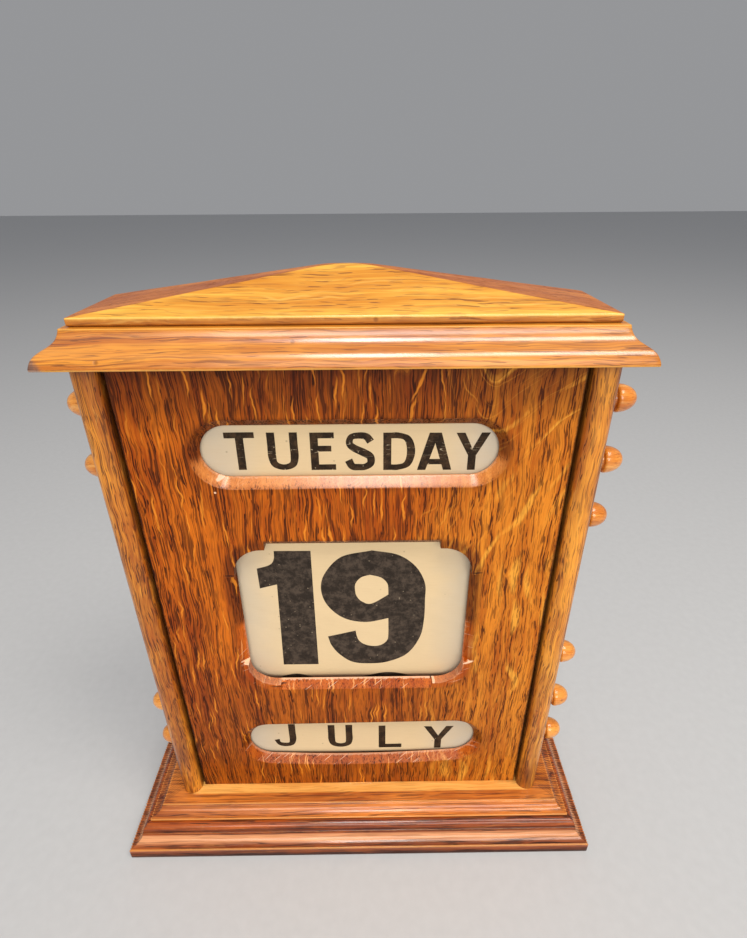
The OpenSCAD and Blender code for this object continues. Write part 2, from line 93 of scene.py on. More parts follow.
def grid_faces(rows, cols, ring=False):
    """Quads of a grid stored row by row; with ring, each row's last point joins its first."""
    i, j = np.meshgrid(np.arange(rows - 1), np.arange(cols if ring else cols - 1), indexing="ij")
    k = (j + 1) % cols
    return np.stack([i * cols + j, (i + 1) * cols + j, (i + 1) * cols + k, i * cols + k], -1).reshape(-1, 4)


def together(*shapes):
    """Several (points, faces) shapes as one, the later faces counting on from the earlier points."""
    points, faces, at = [], [], 0
    for p, f in shapes:
        points.append(p.reshape(-1, 3))
        faces.extend([[int(v) + at for v in face] for face in f])
        at += len(points[-1])
    return np.vstack(points), faces


def placed(name, data):
    """A new object of the data, in the scene."""
    made = bpy.data.objects.new(name, data)
    bpy.context.scene.collection.objects.link(made)
    return made


def piece(name, shape, body, material, stands_for=(), wear=None):
    """A mesh object in place from (points in mm, faces); wear is one number per point."""
    points, faces = shape
    mesh = bpy.data.meshes.new(name)
    mesh.from_pydata((points.reshape(-1, 3) * MM).tolist(), [], [list(map(int, f)) for f in faces])
    mesh.materials.append(material)
    mesh.shade_smooth()
    if wear is not None:
        worn = mesh.attributes.new("wear", "FLOAT", "POINT")
        worn.data.foreach_set("value", wear.ravel().astype(np.float32))
    mesh.update()
    made = placed(name, mesh)
    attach(made, body)
    if stands_for:
        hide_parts(*stands_for)
    return made


def applied(made, modifier):
    """Leaves the modifier's result as the object's own mesh."""
    with bpy.context.temp_override(object=made, active_object=made, selected_objects=[made]):
        bpy.ops.object.modifier_apply(modifier=modifier.name)


def outline(front, right, back, left):
    """A rectangle's outline from its front left corner, its sides given by their points, -1 to 1. Gives each
    point's place across and in depth, -1 to 1, and its direction off the centre of its corner's rounding."""
    turn = np.linspace(0, math.pi / 2, CORNER)
    c, s, one = np.cos(turn), np.sin(turn), np.ones(CORNER)
    f, r, k, l = (np.ones(len(v)) for v in (front, right, back, left))
    return (np.concatenate([-one, front, one, r, one, back, -one, -l]),
            np.concatenate([-one, -f, -one, right, one, k, one, left]),
            np.concatenate([-c, 0 * f, s, r, c, 0 * k, -s, -l]),
            np.concatenate([-s, -f, -c, 0 * r, s, k, c, 0 * l]))


def round_the_board(profile, rear, half, back_y, corner, ends=290, front=90):
    """A profile carried round a board. Each row [out, z] runs along the front and both ends, out from
    the case, while the back only draws in by rear. Corners are turned at the radius corner (left, right)."""
    left, right, back = corner[0], corner[1], 0.5
    depth = 2 * np.linspace(0, 1, ends)[1:-1] - 1
    sx, sy, cx, cy = outline(np.linspace(-1, 1, front)[1:-1], depth, np.linspace(1, -1, 14)[1:-1], -depth)
    ahead = (1 - sy) / 2
    r = back + (left + (right - left) * (sx + 1) / 2 - back) * ahead
    out, z = profile[:, :1], profile[:, 1:]
    hx, yf, yr = half + out, FRONT_Y - out, back_y - rear[:, None]
    x = sx * (hx - r) + r * cx
    y = ahead * (yf + r) + (1 - ahead) * (yr - r) + r * cy
    return np.stack([x, y, z + 0 * x], -1), cx, cy


def closed_board(points):
    """The rows with a flat face over the first and under the last."""
    rows, cols = points.shape[:2]
    faces = grid_faces(rows, cols, ring=True).tolist()
    faces += [list(range(cols)), list(range(rows * cols - 1, rows * cols - 1 - cols, -1))]
    return points, faces


def profile_wear(profile, amount=1.0):
    """Wear along a profile: up to 0.85 on its outer corners and down to -0.4 in its hollows, from how far it
    turns at each point and, spread by a bell curve, within half a millimetre or so of it."""
    step = np.diff(profile, axis=0)
    step /= np.maximum(np.linalg.norm(step, axis=1, keepdims=True), 1e-6)
    turn = step[:-1, 0] * step[1:, 1] - step[:-1, 1] * step[1:, 0]
    turn = np.concatenate([[0], -turn, [0]])
    near = np.abs(np.cumsum(np.concatenate([[0], np.linalg.norm(np.diff(profile, axis=0), axis=1)])))
    spread = np.exp(-((near[:, None] - near[None]) / 0.5) ** 2)
    found = np.clip(spread @ turn * amount, -1, 1)
    return np.where(found > 0, 0.85 * found, 0.4 * found)


class Signal:
    """What a shader node gives at each place; + - * / and abs() on it place Math nodes."""

    def __init__(self, bench, socket):
        self.bench, self.socket = bench, socket

    def __abs__(self):
        return self.bench.math("ABSOLUTE", self)


# The four sums, with a number allowed on either side.
for word, kind in (("add", "ADD"), ("sub", "SUBTRACT"), ("mul", "MULTIPLY"), ("truediv", "DIVIDE")):
    setattr(Signal, f"__{word}__", lambda a, b, kind=kind: a.bench.math(kind, a, b))
    setattr(Signal, f"__r{word}__", lambda a, b, kind=kind: a.bench.math(kind, b, a))


class Bench:
    """Places shader nodes in one tree. An input may be a number, a colour or a Signal."""

    def __init__(self, tree):
        self.tree = tree

    def feed(self, socket, value):
        if isinstance(value, Signal):
            self.tree.links.new(value.socket, socket)
        else:
            socket.default_value = value

    def node(self, kind, inputs, **settings):
        made = self.tree.nodes.new("ShaderNode" + kind)
        for key, value in settings.items():
            setattr(made, key, value)
        for key, value in inputs.items():
            self.feed(made.inputs[key], value)
        return made.outputs

    def put(self, kind, *values, out=0, **settings):
        return Signal(self, self.node(kind, dict(enumerate(values)), **settings)[out])

    def math(self, operation, *values):
        return self.put("Math", *values, operation=operation)

    def most(self, a, b):
        return self.math("MAXIMUM", a, b)

    def least(self, a, b):
        return self.math("MINIMUM", a, b)

    def point(self, x, y, z):
        return self.put("CombineXYZ", x, y, z)

    def parts(self, vector):
        return [Signal(self, out) for out in self.node("SeparateXYZ", {0: vector})]

    def scaled(self, vector, size):
        return self.put("VectorMath", vector, (size, size, size), operation="MULTIPLY")

    def mix(self, factor, a, b):
        return Signal(self, self.node("Mix", {0: factor, 6: a, 7: b}, data_type="RGBA")[2])

    def recolour(self, colours, amount, every=None, **hexes):
        """Mixes an amount of a new colour into each named colour of the wood, or of one into every colour."""
        for key, value in (hexes or dict.fromkeys(colours, every)).items():
            colours[key] = self.mix(amount, colours[key], tint(value))

    def fade(self, value, low, high):
        """Smoothly from 0 at low to 1 at high."""
        return self.put("MapRange", value, low, high, 0.0, 1.0, interpolation_type="SMOOTHSTEP")

    def noise(self, vector, scale=1.0, detail=2.0, rough=0.5):
        return Signal(self, self.node("TexNoise", {"Vector": vector, "Scale": scale, "Detail": detail,
                                                   "Roughness": rough})[0])

    def cells(self, vector):
        """Distance to the nearest of scattered points, and a random number for that point."""
        outs = self.node("TexVoronoi", {"Vector": vector, "Scale": 1.0})
        return Signal(self, outs["Distance"]), self.parts(Signal(self, outs["Color"]))[0]

    def group(self, tree, **values):
        return {out.name: Signal(self, out) for out in self.node("Group", values, node_tree=tree)}

    def surface(self, shader, colour, rough, height, **constants):
        """Wires the shader's colour, roughness and a bump whose height is in mm, and sets its constants."""
        bump = Signal(self, self.node("Bump", {"Distance": MM, "Height": height})[0])
        for key, value in (("Base Color", colour), ("Roughness", rough), ("Normal", bump)):
            self.feed(shader.inputs[key], value)
        for key, value in constants.items():
            shader.inputs[key.replace("_", " ")].default_value = value


def effect(name, takes, gives):
    """An empty shader node group, its bench, its inputs by name and a call that wires its outputs. The
    sockets' names are given in words by kind: v is a vector, c a colour and f a number."""
    tree = bpy.data.node_groups.new(name, "ShaderNodeTree")
    kinds = {"v": "NodeSocketVector", "c": "NodeSocketColor", "f": "NodeSocketFloat"}
    for sockets, way in ((takes, "INPUT"), (gives, "OUTPUT")):
        for kind, words in sockets.items():
            for word in words.split():
                tree.interface.new_socket(word, in_out=way, socket_type=kinds[kind])
    inner, outer = tree.nodes.new("NodeGroupInput"), tree.nodes.new("NodeGroupOutput")
    b = Bench(tree)

    def give(**values):
        for key, value in values.items():
            b.feed(outer.inputs[key], value)

    return tree, b, {socket.name: Signal(b, socket) for socket in inner.outputs}, give


def new_material(name):
    """A material, its bench, its shader and the place on the piece in mm."""
    material = bpy.data.materials.new(name)
    material.use_nodes = True
    b = Bench(material.node_tree)
    place = b.node("VectorMath", {0: b.put("TexCoord", out=3), "Scale": 1 / MM}, operation="SCALE")[0]
    return material, b, material.node_tree.nodes["Principled BSDF"], Signal(b, place)


def tint(hexes):
    """A colour written as on a paint card, #rrggbb, as the renderer's linear colour."""
    part = [int(hexes[i:i + 2], 16) / 255 for i in (1, 3, 5)]
    return tuple(v / 12.92 if v <= 0.04045 else ((v + 0.055) / 1.055) ** 2.4 for v in part) + (1.0,)


def oak_grain():
    """Quarter-sawn oak, in mm across, through and along the grain. Growth rings are noise drawn out along
    the grain; streaks and pores are the low parts of thin noises, more of them where Streaks and Pores are
    high and where the rings are open; ray flecks are long cells that wander, and broad flecks are wide
    feathered cells. Lean shifts both kinds of fleck sideways, in mm."""
    tree, b, given, give = effect(
        "oak_grain", {"v": "Place", "c": "Pale Deep Pore Fleck", "f": "Pores Streaks Flecks Broad Lean"},
        {"c": "Colour", "f": "Roughness Height"})
    across, through, along = b.parts(given["Place"])
    slow = b.noise(b.point(across * 0.02, through * 0.02, along * 0.009), detail=1.0)
    quick = b.noise(b.point(across * 0.13, through * 0.13, along * 0.06), detail=1.0)
    across = across + ((slow - 0.5) * 9.0 + (quick - 0.5) * 3.0)

    def drawn(x, y, z, sideways=across):
        """The place with its three sizes divided by x, y and z millimetres."""
        return b.point(sideways / x, through / y, along / z)

    rings = b.noise(drawn(2.6, 9.0, 190.0), rough=0.6)
    bands = b.noise(drawn(11.0, 40.0, 150.0))
    threads = b.noise(drawn(0.4, 0.6, 11.0), detail=1.0)
    patches = b.noise(drawn(24.0, 24.0, 34.0), detail=3.0, rough=0.6)
    tone = rings * 0.36 + bands * 0.26 + (threads * 0.24 + patches * 0.36)
    colour = b.mix(b.fade(tone, 0.47, 0.77), given["Deep"], given["Pale"])

    open_ring = b.fade(rings, 0.7, 0.4)
    thin = b.noise(drawn(0.58, 0.9, 26.0), detail=1.0) - given["Streaks"] * 0.12
    line = b.fade(thin, 0.4, 0.3) * b.fade(b.noise(drawn(1.3, 1.8, 13.0), detail=1.0), 0.38, 0.5)
    line = line * b.fade(given["Streaks"], 0.0, 0.7)
    short = b.noise(drawn(0.52, 0.8, 7.0), detail=1.0) - given["Pores"] * 0.14
    dash = b.fade(short, 0.33, 0.26) * b.fade(given["Pores"], 0.0, 0.7)
    pore = b.most(line * 0.85, dash) * (open_ring * 0.6 + 0.4)

    curl = b.noise(b.point(across * 0.1, through * 0.2, along * 0.1))
    far, pick = b.cells(drawn(1.9, 14.0, 30.0, across + (curl - 0.5) * 5.0 - given["Lean"]))
    ray = b.fade(far, 0.31, 0.13) * b.fade(pick, 0.0, 0.4) * given["Flecks"]

    feather = b.noise(drawn(0.9, 1.0, 6.0))
    sweep = b.noise(drawn(26.0, 26.0, 30.0), detail=0.0)
    far, pick = b.cells(drawn(6.0, 30.0, 38.0, across - given["Lean"] + (sweep - 0.5) * 22.0))
    broad = b.fade(far + (feather - 0.5) * 0.36, 0.42, 0.1) * b.fade(pick, 0.3, 0.5) * given["Broad"]

    colour = b.mix(broad * 0.75, colour, given["Fleck"])
    colour = b.mix(ray * 0.8, colour, given["Fleck"])
    pore = pore * (1.0 - ray * 0.85) * (1.0 - broad * 0.35)
    give(Colour=b.mix(pore * 0.9, colour, given["Pore"]), Roughness=0.3 + pore * 0.3 + threads * 0.1,
         Height=threads * 0.016 - pore * 0.06 + ray * 0.012)
    return tree


def handled_edges():
    """Years of handling. Outer corners are rubbed paler, hollows hold dark polish, and both are broken up
    by noise; a few small dents lie anywhere."""
    tree, b, given, give = effect(
        "handled_edges", {"v": "Place", "c": "Colour Bare Grime", "f": "Roughness Height Wear"},
        {"c": "Colour", "f": "Roughness Height"})
    ragged = b.noise(b.scaled(given["Place"], 0.35), detail=4.0, rough=0.65)
    # On some pieces the wear also carries painted highlight and shade: the ripples on the boards' ends, the
    # pediment's lower edge.
    rubbed = b.fade(given["Wear"] + ragged * 0.5, 0.45, 1.0)
    grimy = b.fade(ragged * 0.35 - given["Wear"], 0.3, 0.95)
    far, pick = b.cells(b.scaled(given["Place"], 0.06))
    dent = b.fade(far, 0.075, 0.02) * b.fade(pick, 0.4, 0.5)
    colour = b.mix(rubbed * 0.55, given["Colour"], given["Bare"])
    colour = b.mix(grimy * 0.72, colour, given["Grime"])
    smear = b.noise(b.scaled(given["Place"], 0.05), detail=3.0)
    give(Colour=b.mix(dent * 0.5, colour, given["Grime"]),
         Roughness=given["Roughness"] + (smear - 0.5) * 0.18 + grimy * 0.15,
         Height=given["Height"] - dent * 0.12)
    return tree


GRAIN = oak_grain()
HANDLED = handled_edges()


def polished_oak(name, pale, deep, pore, fleck, lie, pores=1.0, streaks=0.5, flecks=0.4, broad=0.0, lean=0.1,
                 coat=0.35, coat_rough=0.16, gloss=0.3, shift=(0.0, 0.0, 0.0), stretch=0.5, local=None):
    """Oak under shellac. lie is the way its grain runs, x or z, and stretch below 1 draws grain along x
    out; local may change the grain's colours and masks, and the coat, for one piece, from its place in mm."""
    material, b, shader, place = new_material(name)
    x, y, z = b.parts(place)
    if lie == "z":
        board, along = b.point(x, y, z), z
    else:
        board, along = b.point(y * 0.6 + z * 0.8, y * 0.8 - z * 0.6, x * stretch), x
    board = b.put("VectorMath", board, shift, operation="ADD")
    masks = {"Pores": pores, "Streaks": streaks, "Flecks": flecks, "Broad": broad, "Lean": along * lean,
             "Coat": coat}
    colours = {"Pale": tint(pale), "Deep": tint(deep), "Pore": tint(pore), "Fleck": tint(fleck)}
    if local:
        local(b, x, y, z, masks, colours)
    b.feed(shader.inputs["Coat Weight"], masks.pop("Coat"))
    grain = b.group(GRAIN, Place=board, **masks, **colours)
    wear = b.put("Attribute", out=2, attribute_name="wear")
    done = b.group(HANDLED, Place=place, Wear=wear, Bare=colours["Fleck"], Grime=colours["Pore"], **grain)
    b.surface(shader, done["Colour"], done["Roughness"], done["Height"], Specular_IOR_Level=gloss,
              Coat_Roughness=coat_rough)
    return material


def sunk_holes(board, z, deep):
    """Countersunk screw holes cut up into the underside of a board, or down where deep is negative."""
    turn = np.linspace(0, 2 * math.pi, 33)[:-1]
    way = np.sign(deep)
    rows = np.array([[SCREW_HEAD_R, -way], [SCREW_HEAD_R, 0.4 * way],
                     [SCREW_SHANK_R, (0.4 + SCREW_HEAD_R - SCREW_SHANK_R) * way], [SCREW_SHANK_R, deep]])
    shapes = []
    for x, y in SCREW_SPOTS:
        points, faces = closed_board(np.stack([x + rows[:, :1] * np.cos(turn), y + rows[:, :1] * np.sin(turn),
                                               z + rows[:, 1:] + 0 * turn], -1))
        shapes.append((points, [f[::-1] for f in faces] if deep > 0 else faces))
    cutter = piece("cutter", together(*shapes), "case", board.data.materials[0])
    cut = board.modifiers.new("holes", "BOOLEAN")
    cut.object, cut.operation, cut.solver = cutter, "DIFFERENCE", "EXACT"
    applied(board, cut)
    bpy.data.objects.remove(cutter)


def base_foot(b, x, y, z, masks, colours):
    """The edge next to the table is darkened near to black, painted shade where it meets the table, and has
    no shine; the cove over it is painted paler, a painted highlight, and the quirk under the small round is
    darkened, painted shade in the recess."""
    patchy = b.noise(b.point(x * 0.09, y * 0.09, z * 0.5), detail=4.0)
    # Painted shade: the lowest edge darkened towards the table.
    edge = b.fade(z, 6.0, 4.6)
    dark = b.fade(z + (patchy - 0.5) * 7.0, 4.8, 1.6)
    b.recolour(colours, edge * (0.35 + dark * 0.55), "#260c06")
    # Painted highlight: the cove lightened.
    cove = b.fade(z, 6.9, 8.0) * b.fade(z, 11.4, 9.8)
    b.recolour(colours, cove * 0.75, Pale="#f6b684", Deep="#d08a58")
    # Painted shade: the quirk darkened.
    quirk = b.fade(z, 11.6, 12.1) * b.fade(z, 14.2, 13.2)
    b.recolour(colours, quirk * 0.45, Pale="#3c1204", Deep="#3c1204")
    calm = 1.0 - cove * 0.55
    masks.update(Coat=(1.0 - edge) * 0.6, Pores=calm * 0.6, Streaks=calm * 0.9)


BASE_OAK = polished_oak("base_oak_old", "#be5c16", "#642006", "#1e0602", "#e29a4c", "x", pores=0.6,
                        streaks=0.9, flecks=0.2, lean=0.0, coat_rough=0.14, gloss=0.2, local=base_foot)


def chatter(points, cx, profile, size, pitch, seed):
    """The cutter's ripples on the end grain: a twisted wave along y that draws the ends in. Also their wear
    and painted light: the crests are rubbed and carry a painted highlight, the hollows hold dark polish and
    painted shade."""
    y, z = points[..., 1], points[..., 2]
    ripple = np.sin(2 * math.pi / pitch * (y + 0.25 * waver(y, 9.0, seed)) + 0.9 * z)
    strength = size * (0.65 + 0.35 * waver(y, 23.0, seed + 1))
    edge = np.clip(np.abs(profile_wear(profile)) * 2.0, 0.35, 1)[:, None]
    points[..., 0] -= np.where(np.abs(cx) > 0.99, cx, 0) * (1 - ripple) * strength * edge
    # Wear with painted highlight on the crests and painted shade in the hollows.
    return points, np.where(np.abs(cx) > 0.99, 0.95 * ripple * edge - 0.3, 0)


def moulding(path, ease, arris, inward, half, back_y, corner, ripple, worn=(1, 1), **counts):
    """A moulded board from its profile: its points, its wear, with the ripples' painted highlight and shade,
    and which way each point faces in depth. arris eases the lower and upper edge of its back, inward is how
    far in its two flat faces are closed, ripple is size, pitch and seed of the cutter's marks, and worn how
    much profile and marks add to the wear."""
    path = stepped(eased(path, ease))
    z, (low, high) = path[:, 1], arris
    rear = np.interp(z, [z.min(), z.min() + low, z.max() - high, z.max()], [low, 0, 0, high])
    rear[[0, -1]] = inward
    points, cx, cy = round_the_board(path, rear, half, back_y, corner, **counts)
    points, ripples = chatter(points, cx, path, *ripple)
    return points, profile_wear(path, worn[0])[:, None] + worn[1] * ripples, cy


BASE = {"ease": 0.22, "half": BASE_HALF, "back_y": BASE_BACK_Y, "corner": (0.35, 0.35)}
points, wear, _ = moulding(np.vstack([
    [[-7.0, LOWER_TOP], [12.4, LOWER_TOP]], quarter(12.4, 13.3, 3.3, 3.3, 84, 0), [[15.7, 12.3]],
    quarter(21.0, 12.3, 4.9, 5.2, 180, 270), quarter(21.7, 6.5, 0.6, 0.6, 80, 0, 4),
    [[22.3, 0.6], [21.7, 0.0], [14.0, 0.0]]]), arris=(0.5, 0.5), inward=7.0, ripple=(0.46, 1.36, 3), **BASE)
lower_board = piece("base_lower_moulded_board", closed_board(points), "case", BASE_OAK,
                    ["base_lower_board"], wear=wear)
sunk_holes(lower_board, 0.0, 20.0)

# ----------------------------------------
# Upper base board. A thinner board glued on the lower one, with a square arris,
# a cove and a lip over a dark shadow line. The case stands on it.
UPPER_TOP = 22.5


def base_top(b, x, y, z, masks, colours):
    """The golden strip in front of the panel's foot, partly the wood's own tone and partly a painted glint of
    the polish; the moulding is darker and redder towards the left.
    """
    strip = b.fade(y, -17.6, -16.6) * b.fade(z, 22.2, 22.4) * b.fade(abs(x), 98.0, 95.0)
    left = b.fade(x, -10.0, -85.0) * b.fade(z, 22.45, 22.0)
    b.recolour(colours, left * 0.4, Pale="#a85a28", Deep="#5c2008")
    # Painted glint together with the wood's tone: the golden strip.
    b.recolour(colours, strip, Pale="#f8ba62", Deep="#dc903e")
    calm = 1.0 - strip * 0.55
    masks.update(Pores=calm * 0.5, Streaks=calm * 0.7)


TOP_OAK = polished_oak("base_oak_top", "#dc8232", "#8c380e", "#340f05", "#e8a050", "x", flecks=0.2, lean=0.0,
                       coat=0.6, coat_rough=0.14, shift=(17.0, 5.0, 60.0), local=base_top)
points, wear, _ = moulding(np.vstack([
    [[-2.0, UPPER_TOP], [6.3, UPPER_TOP], [6.3, 21.7]], quarter(11.4, 21.7, 4.7, 3.6, 180, 270),
    [[12.0, 18.1], [12.0, 17.3], [11.6, LOWER_TOP], [3.0, LOWER_TOP]]]),
    arris=(0.2, 0.4), inward=6.0, ripple=(0.3, 1.44, 8), **BASE)
upper_board = piece("base_upper_moulded_board", closed_board(points), "case", TOP_OAK,
                    ["base_upper_board"], wear=wear)
sunk_holes(upper_board, 11.0, 13.0)

# ----------------------------------------
# Base screws. Four long steel wood screws from below, their heads countersunk,
# the bright steel gone dull. These and the cornice's keep their CAD meshes.


def screw_metal(name, bright, dull, rough):
    """Turned metal: cloudy tarnish over a bright ground that the tool left finely uneven."""
    material, b, shader, place = new_material(name)
    cloud = b.noise(b.scaled(place, 0.5), detail=4.0, rough=0.6)
    fine = b.noise(b.scaled(place, 5.0))
    dulled = b.fade(cloud, 0.4, 0.65)
    colour = b.mix(dulled, tint(bright), tint(dull))
    b.surface(shader, colour, dulled * 0.3 + rough, fine * 0.02, Metallic=1.0)
    return material


STEEL = screw_metal("screw_steel", "#b9b6b0", "#6f655c", 0.3)
BRASS = screw_metal("screw_brass", "#cfa55a", "#7e6233", 0.28)
for name in ("base_screws", "cornice_screws"):
    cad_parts[name].data.materials[0] = STEEL


def dressed(name, node, material, ease=0.35, body="case"):
    """A CAD solid with its arrises eased: its mesh is copied, its points are welded and its flat faces
    joined, then it is bevelled."""
    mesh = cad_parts[node].data.copy()
    mesh.name = name
    mesh.materials.clear()
    mesh.materials.append(material)
    if mesh.has_custom_normals:
        with bpy.context.temp_override():
            mesh.attributes.remove(mesh.attributes["custom_normal"])
    work = bmesh.new()
    work.from_mesh(mesh)
    bmesh.ops.remove_doubles(work, verts=work.verts, dist=2e-6)
    bmesh.ops.dissolve_limit(work, angle_limit=math.radians(1.0), verts=work.verts, edges=work.edges)
    work.to_mesh(mesh)
    work.free()
    mesh.shade_smooth()
    made = placed(name, mesh)
    bevel = made.modifiers.new("eased", "BEVEL")
    bevel.width, bevel.segments, bevel.limit_method = ease * MM, 3, "ANGLE"
    bevel.angle_limit, bevel.harden_normals = math.radians(32), True
    applied(made, bevel)
    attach(made, body)
    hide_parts(node)
    return made


# ----------------------------------------
# Side boards. Straight oak boards on end, the front edge worked to a full half
# round; glued and screwed between base and cornice, bored for the shanks.
SCRATCH_DIRT_AND_JOINT_SHADE = "#180a05"          # what lies in old scratches, and the painted shade in the joints


def side_streaks_and_shade(b, x, y, z, masks, colours):
    """Brown streaks where hands and dust have been, deeper towards the foot; a painted shadow of the cornice
    over their top, and painted shade in the joint with the panel. The right board is the more golden one."""
    b.recolour(colours, b.math("GREATER_THAN", x, 0.0) * 0.5, Pale="#ffae3a", Deep="#c0681a")
    worn = b.noise(b.point(x * 0.12, y * 0.12, z * 0.02), detail=3.0)
    amount = b.fade(worn, 0.42, 0.66) * (b.fade(z, 95.0, 22.0) * 0.6 + 0.3)
    # Painted shadow of the cornice over the top of the boards.
    amount = b.most(amount, b.fade(z, 262.0, 277.0) * 0.5)
    b.recolour(colours, amount, Pale="#98561a", Deep="#57290b")
    # Painted shade in the joint with the panel.
    joint = b.fade(y, -13.9, -12.4) * b.fade(abs(x), 92.8, 91.9)
    b.recolour(colours, joint * 0.6, SCRATCH_DIRT_AND_JOINT_SHADE)


SIDE_OAK = polished_oak("side_oak", "#e6942a", "#a3520e", "#431806", "#eeb050", "z", pores=0.6, streaks=0.6,
                        flecks=0.3, lean=0.03, coat=0.35, coat_rough=0.18, shift=(40.0, 11.0, 0.0),
                        local=side_streaks_and_shade)
for side in ("left", "right"):
    dressed(f"{side}_side_dressed_board", f"{side}_side_board", SIDE_OAK, 0.4)

# ----------------------------------------
# Front panel. A thin quarter-sawn board, its figure thin wavy rays at the left
# and broad feathers at the right. Three bevelled windows are cut in it with a
# chisel; the sills are scuffed and chipped. It hangs on two battens behind.

# Each window: x and z of its middle, half width, half height, corner radius, rise to the right and how
# far its worn sill sags.
DAY_WINDOW = (0.0, 237.2, 61.0, 11.6, 11.6, 0.0, 0.0)
DATE_WINDOW = (0.0, 147.9, 53.8, 42.4, 13.0, 0.0, 0.0)
WINDOWS = (DAY_WINDOW, DATE_WINDOW, (2.0, 58.35, 62.5, 12.8, 12.8, 0.0105, 2.2))


def window_edge():
    """Distance in mm from a window's opening on the panel's face, out from a rounded box of half width W,
    half height H and corner radius R, centred at height Z; and how much the place looks down on the sill."""
    tree, b, given, give = effect("window_edge", {"v": "Place", "f": "Z W H R"}, {"f": "Distance Below"})
    x, _, z = b.parts(given["Place"])
    z = z - given["Z"]
    qx = abs(x) - given["W"] + given["R"]
    qz = abs(z) - given["H"] + given["R"]
    px, pz = b.most(qx, 0.0), b.most(qz, 0.0)
    reach = b.math("SQRT", px * px + pz * pz)
    distance = reach + b.least(b.most(qx, qz), 0.0) - given["R"]
    give(Distance=distance, Below=b.fade(z, 0.0, -6.0) * b.fade(distance, 6.0, 2.0))
    return tree


EDGE = window_edge()
# x, z, half length, half height and slope of the marks on the face: the pale ones are chips of bare wood at
# the sills and stops, the dark ones old scratches.
CHIPS = ((-54.0, 225.8, 1.5, 1.1, 0.2), (-56.4, 220.1, 0.45, 0.45, 0.0), (56.2, 119.6, 2.6, 0.7, 0.35),
         (39.8, 106.4, 1.1, 1.3, 0.5), (-54.9, 120.6, 2.2, 0.7, -0.3), (44.6, 110.0, 2.4, 0.5, 0.6))
SCRATCHES = ((-56.2, 176.4, 2.7, 0.4, 0.0), (56.6, 176.5, 2.7, 0.4, 0.05), (38.4, 105.9, 0.5, 1.5, 0.0),
             (-40.2, 103.9, 5.0, 0.35, 0.0))


def marks(b, x, z, ragged, spots):
    """Masks of the spots' ragged ellipses, put together."""
    found = 0.0
    for cx, cz, long, high, slope in spots:
        dx = x - cx
        away = b.point(dx / long, 0.0, (z - cz - dx * slope) / high)
        length = b.put("VectorMath", away, out=1, operation="LENGTH")
        found = b.most(found, b.fade(length + ragged, 1.25, 0.85))
    return found


def panel_figure_and_shade(b, x, y, z, masks, colours):
    """The panel's figure and colour: red-brown at the left, golden at the right with broad feathers that
    curve over to the right as they rise; a painted shadow of the cornice at the top, darker towards the foot,
    painted shade in the joints and on the bevels above and beside the windows; orange on the sills, which
    have a pale broken edge, worn and with a painted arris highlight, and are scored aslant."""
    drift = b.noise(b.point(x * 0.018, 0.0, z * 0.012))
    right = b.fade(x + (drift - 0.5) * 60.0, 22.0, 58.0)
    rise = b.most(z - 165.0, 0.0)
    masks.update(Lean=rise * rise * (right * 0.006), Broad=right, Flecks=1.0 - right * 0.8,
                 Streaks=1.3 - right * 0.9, Pores=0.7 + right * 0.3)
    b.recolour(colours, right, Pale="#dd8524", Deep="#a9520c", Fleck="#f0a83c", Pore="#3a1204")
    # Darker towards the foot, and a painted shadow of the cornice over the top.
    low = b.fade(z, 135.0, 75.0) * (0.3 - right * 0.2)
    dark = b.most(b.fade(z, 244.0, 274.0) * 0.6, low)
    ragged = b.noise(b.scaled(b.point(x, y, z), 0.9), detail=3.0, rough=0.7)
    bare = marks(b, x, z, (ragged - 0.5) * 1.6, CHIPS)
    far, pick = b.cells(b.point(z * 1.9 + x * -0.95, 0.0, z * 0.035 + x * 0.07))
    scored = b.fade(far, 0.3, 0.16) * b.fade(pick, 0.4, 0.7)
    for window in WINDOWS:
        wx, wz, w, h, r, tilt, sag = window
        pale, deep, shine, calmed, scars = "#cc6418", "#9c3c0a", 0.05, 0.5, 0.7
        if window is DAY_WINDOW:
            pale, deep, shine, calmed, scars = "#e6984e", "#c87430", 0.9, 0.75, 0.1
        broken, kept = (0.7, 0.5) if window is DATE_WINDOW else (0.32, 0.1)
        across = x - wx
        level = z - across * tilt
        part = across / (w - r)
        bow = b.most(1.0 - part * part, 0.0) * sag * b.fade(level, wz, wz - 6.0)
        edge = b.group(EDGE, Place=b.point(across, y, level + bow), Z=wz, W=w, H=h, R=r)
        distance, below = edge["Distance"], edge["Below"]
        # Painted shade on the bevels above and beside the window.
        dark = b.most(dark, b.fade(distance, 7.0, 2.5) * (1.0 - below) * 0.6)
        sill = below * b.fade(distance, 4.4, 3.9)
        b.recolour(colours, sill * 0.75, Pale=pale, Deep=deep, Fleck="#e8a468")
        calm = 1.0 - sill * calmed
        masks.update(Coat=b.most(masks["Coat"], sill * shine), Pores=masks["Pores"] * calm,
                     Streaks=masks["Streaks"] * calm)
        bare = b.most(bare, scored * sill * scars)
        # The sill's pale arris line: wear and a painted highlight.
        arris = b.fade(distance + ragged * 2.0, 1.7, 1.2)
        ends = broken - b.fade(abs(across), w - r - 2.5, w - r) * kept
        bare = b.most(bare, arris * below * ends)
    b.recolour(colours, dark, Pale="#3f1405", Deep="#3f1405")
    # Painted shade in the joints with the side boards.
    joint = b.fade(abs(x) + ragged, 89.8, 90.6) * 0.9
    scratch_and_joint_shade = b.most(marks(b, x, z, ragged * 0.4, SCRATCHES), joint)
    b.recolour(colours, bare, "#efc3a0")
    b.recolour(colours, scratch_and_joint_shade * 0.9, SCRATCH_DIRT_AND_JOINT_SHADE)


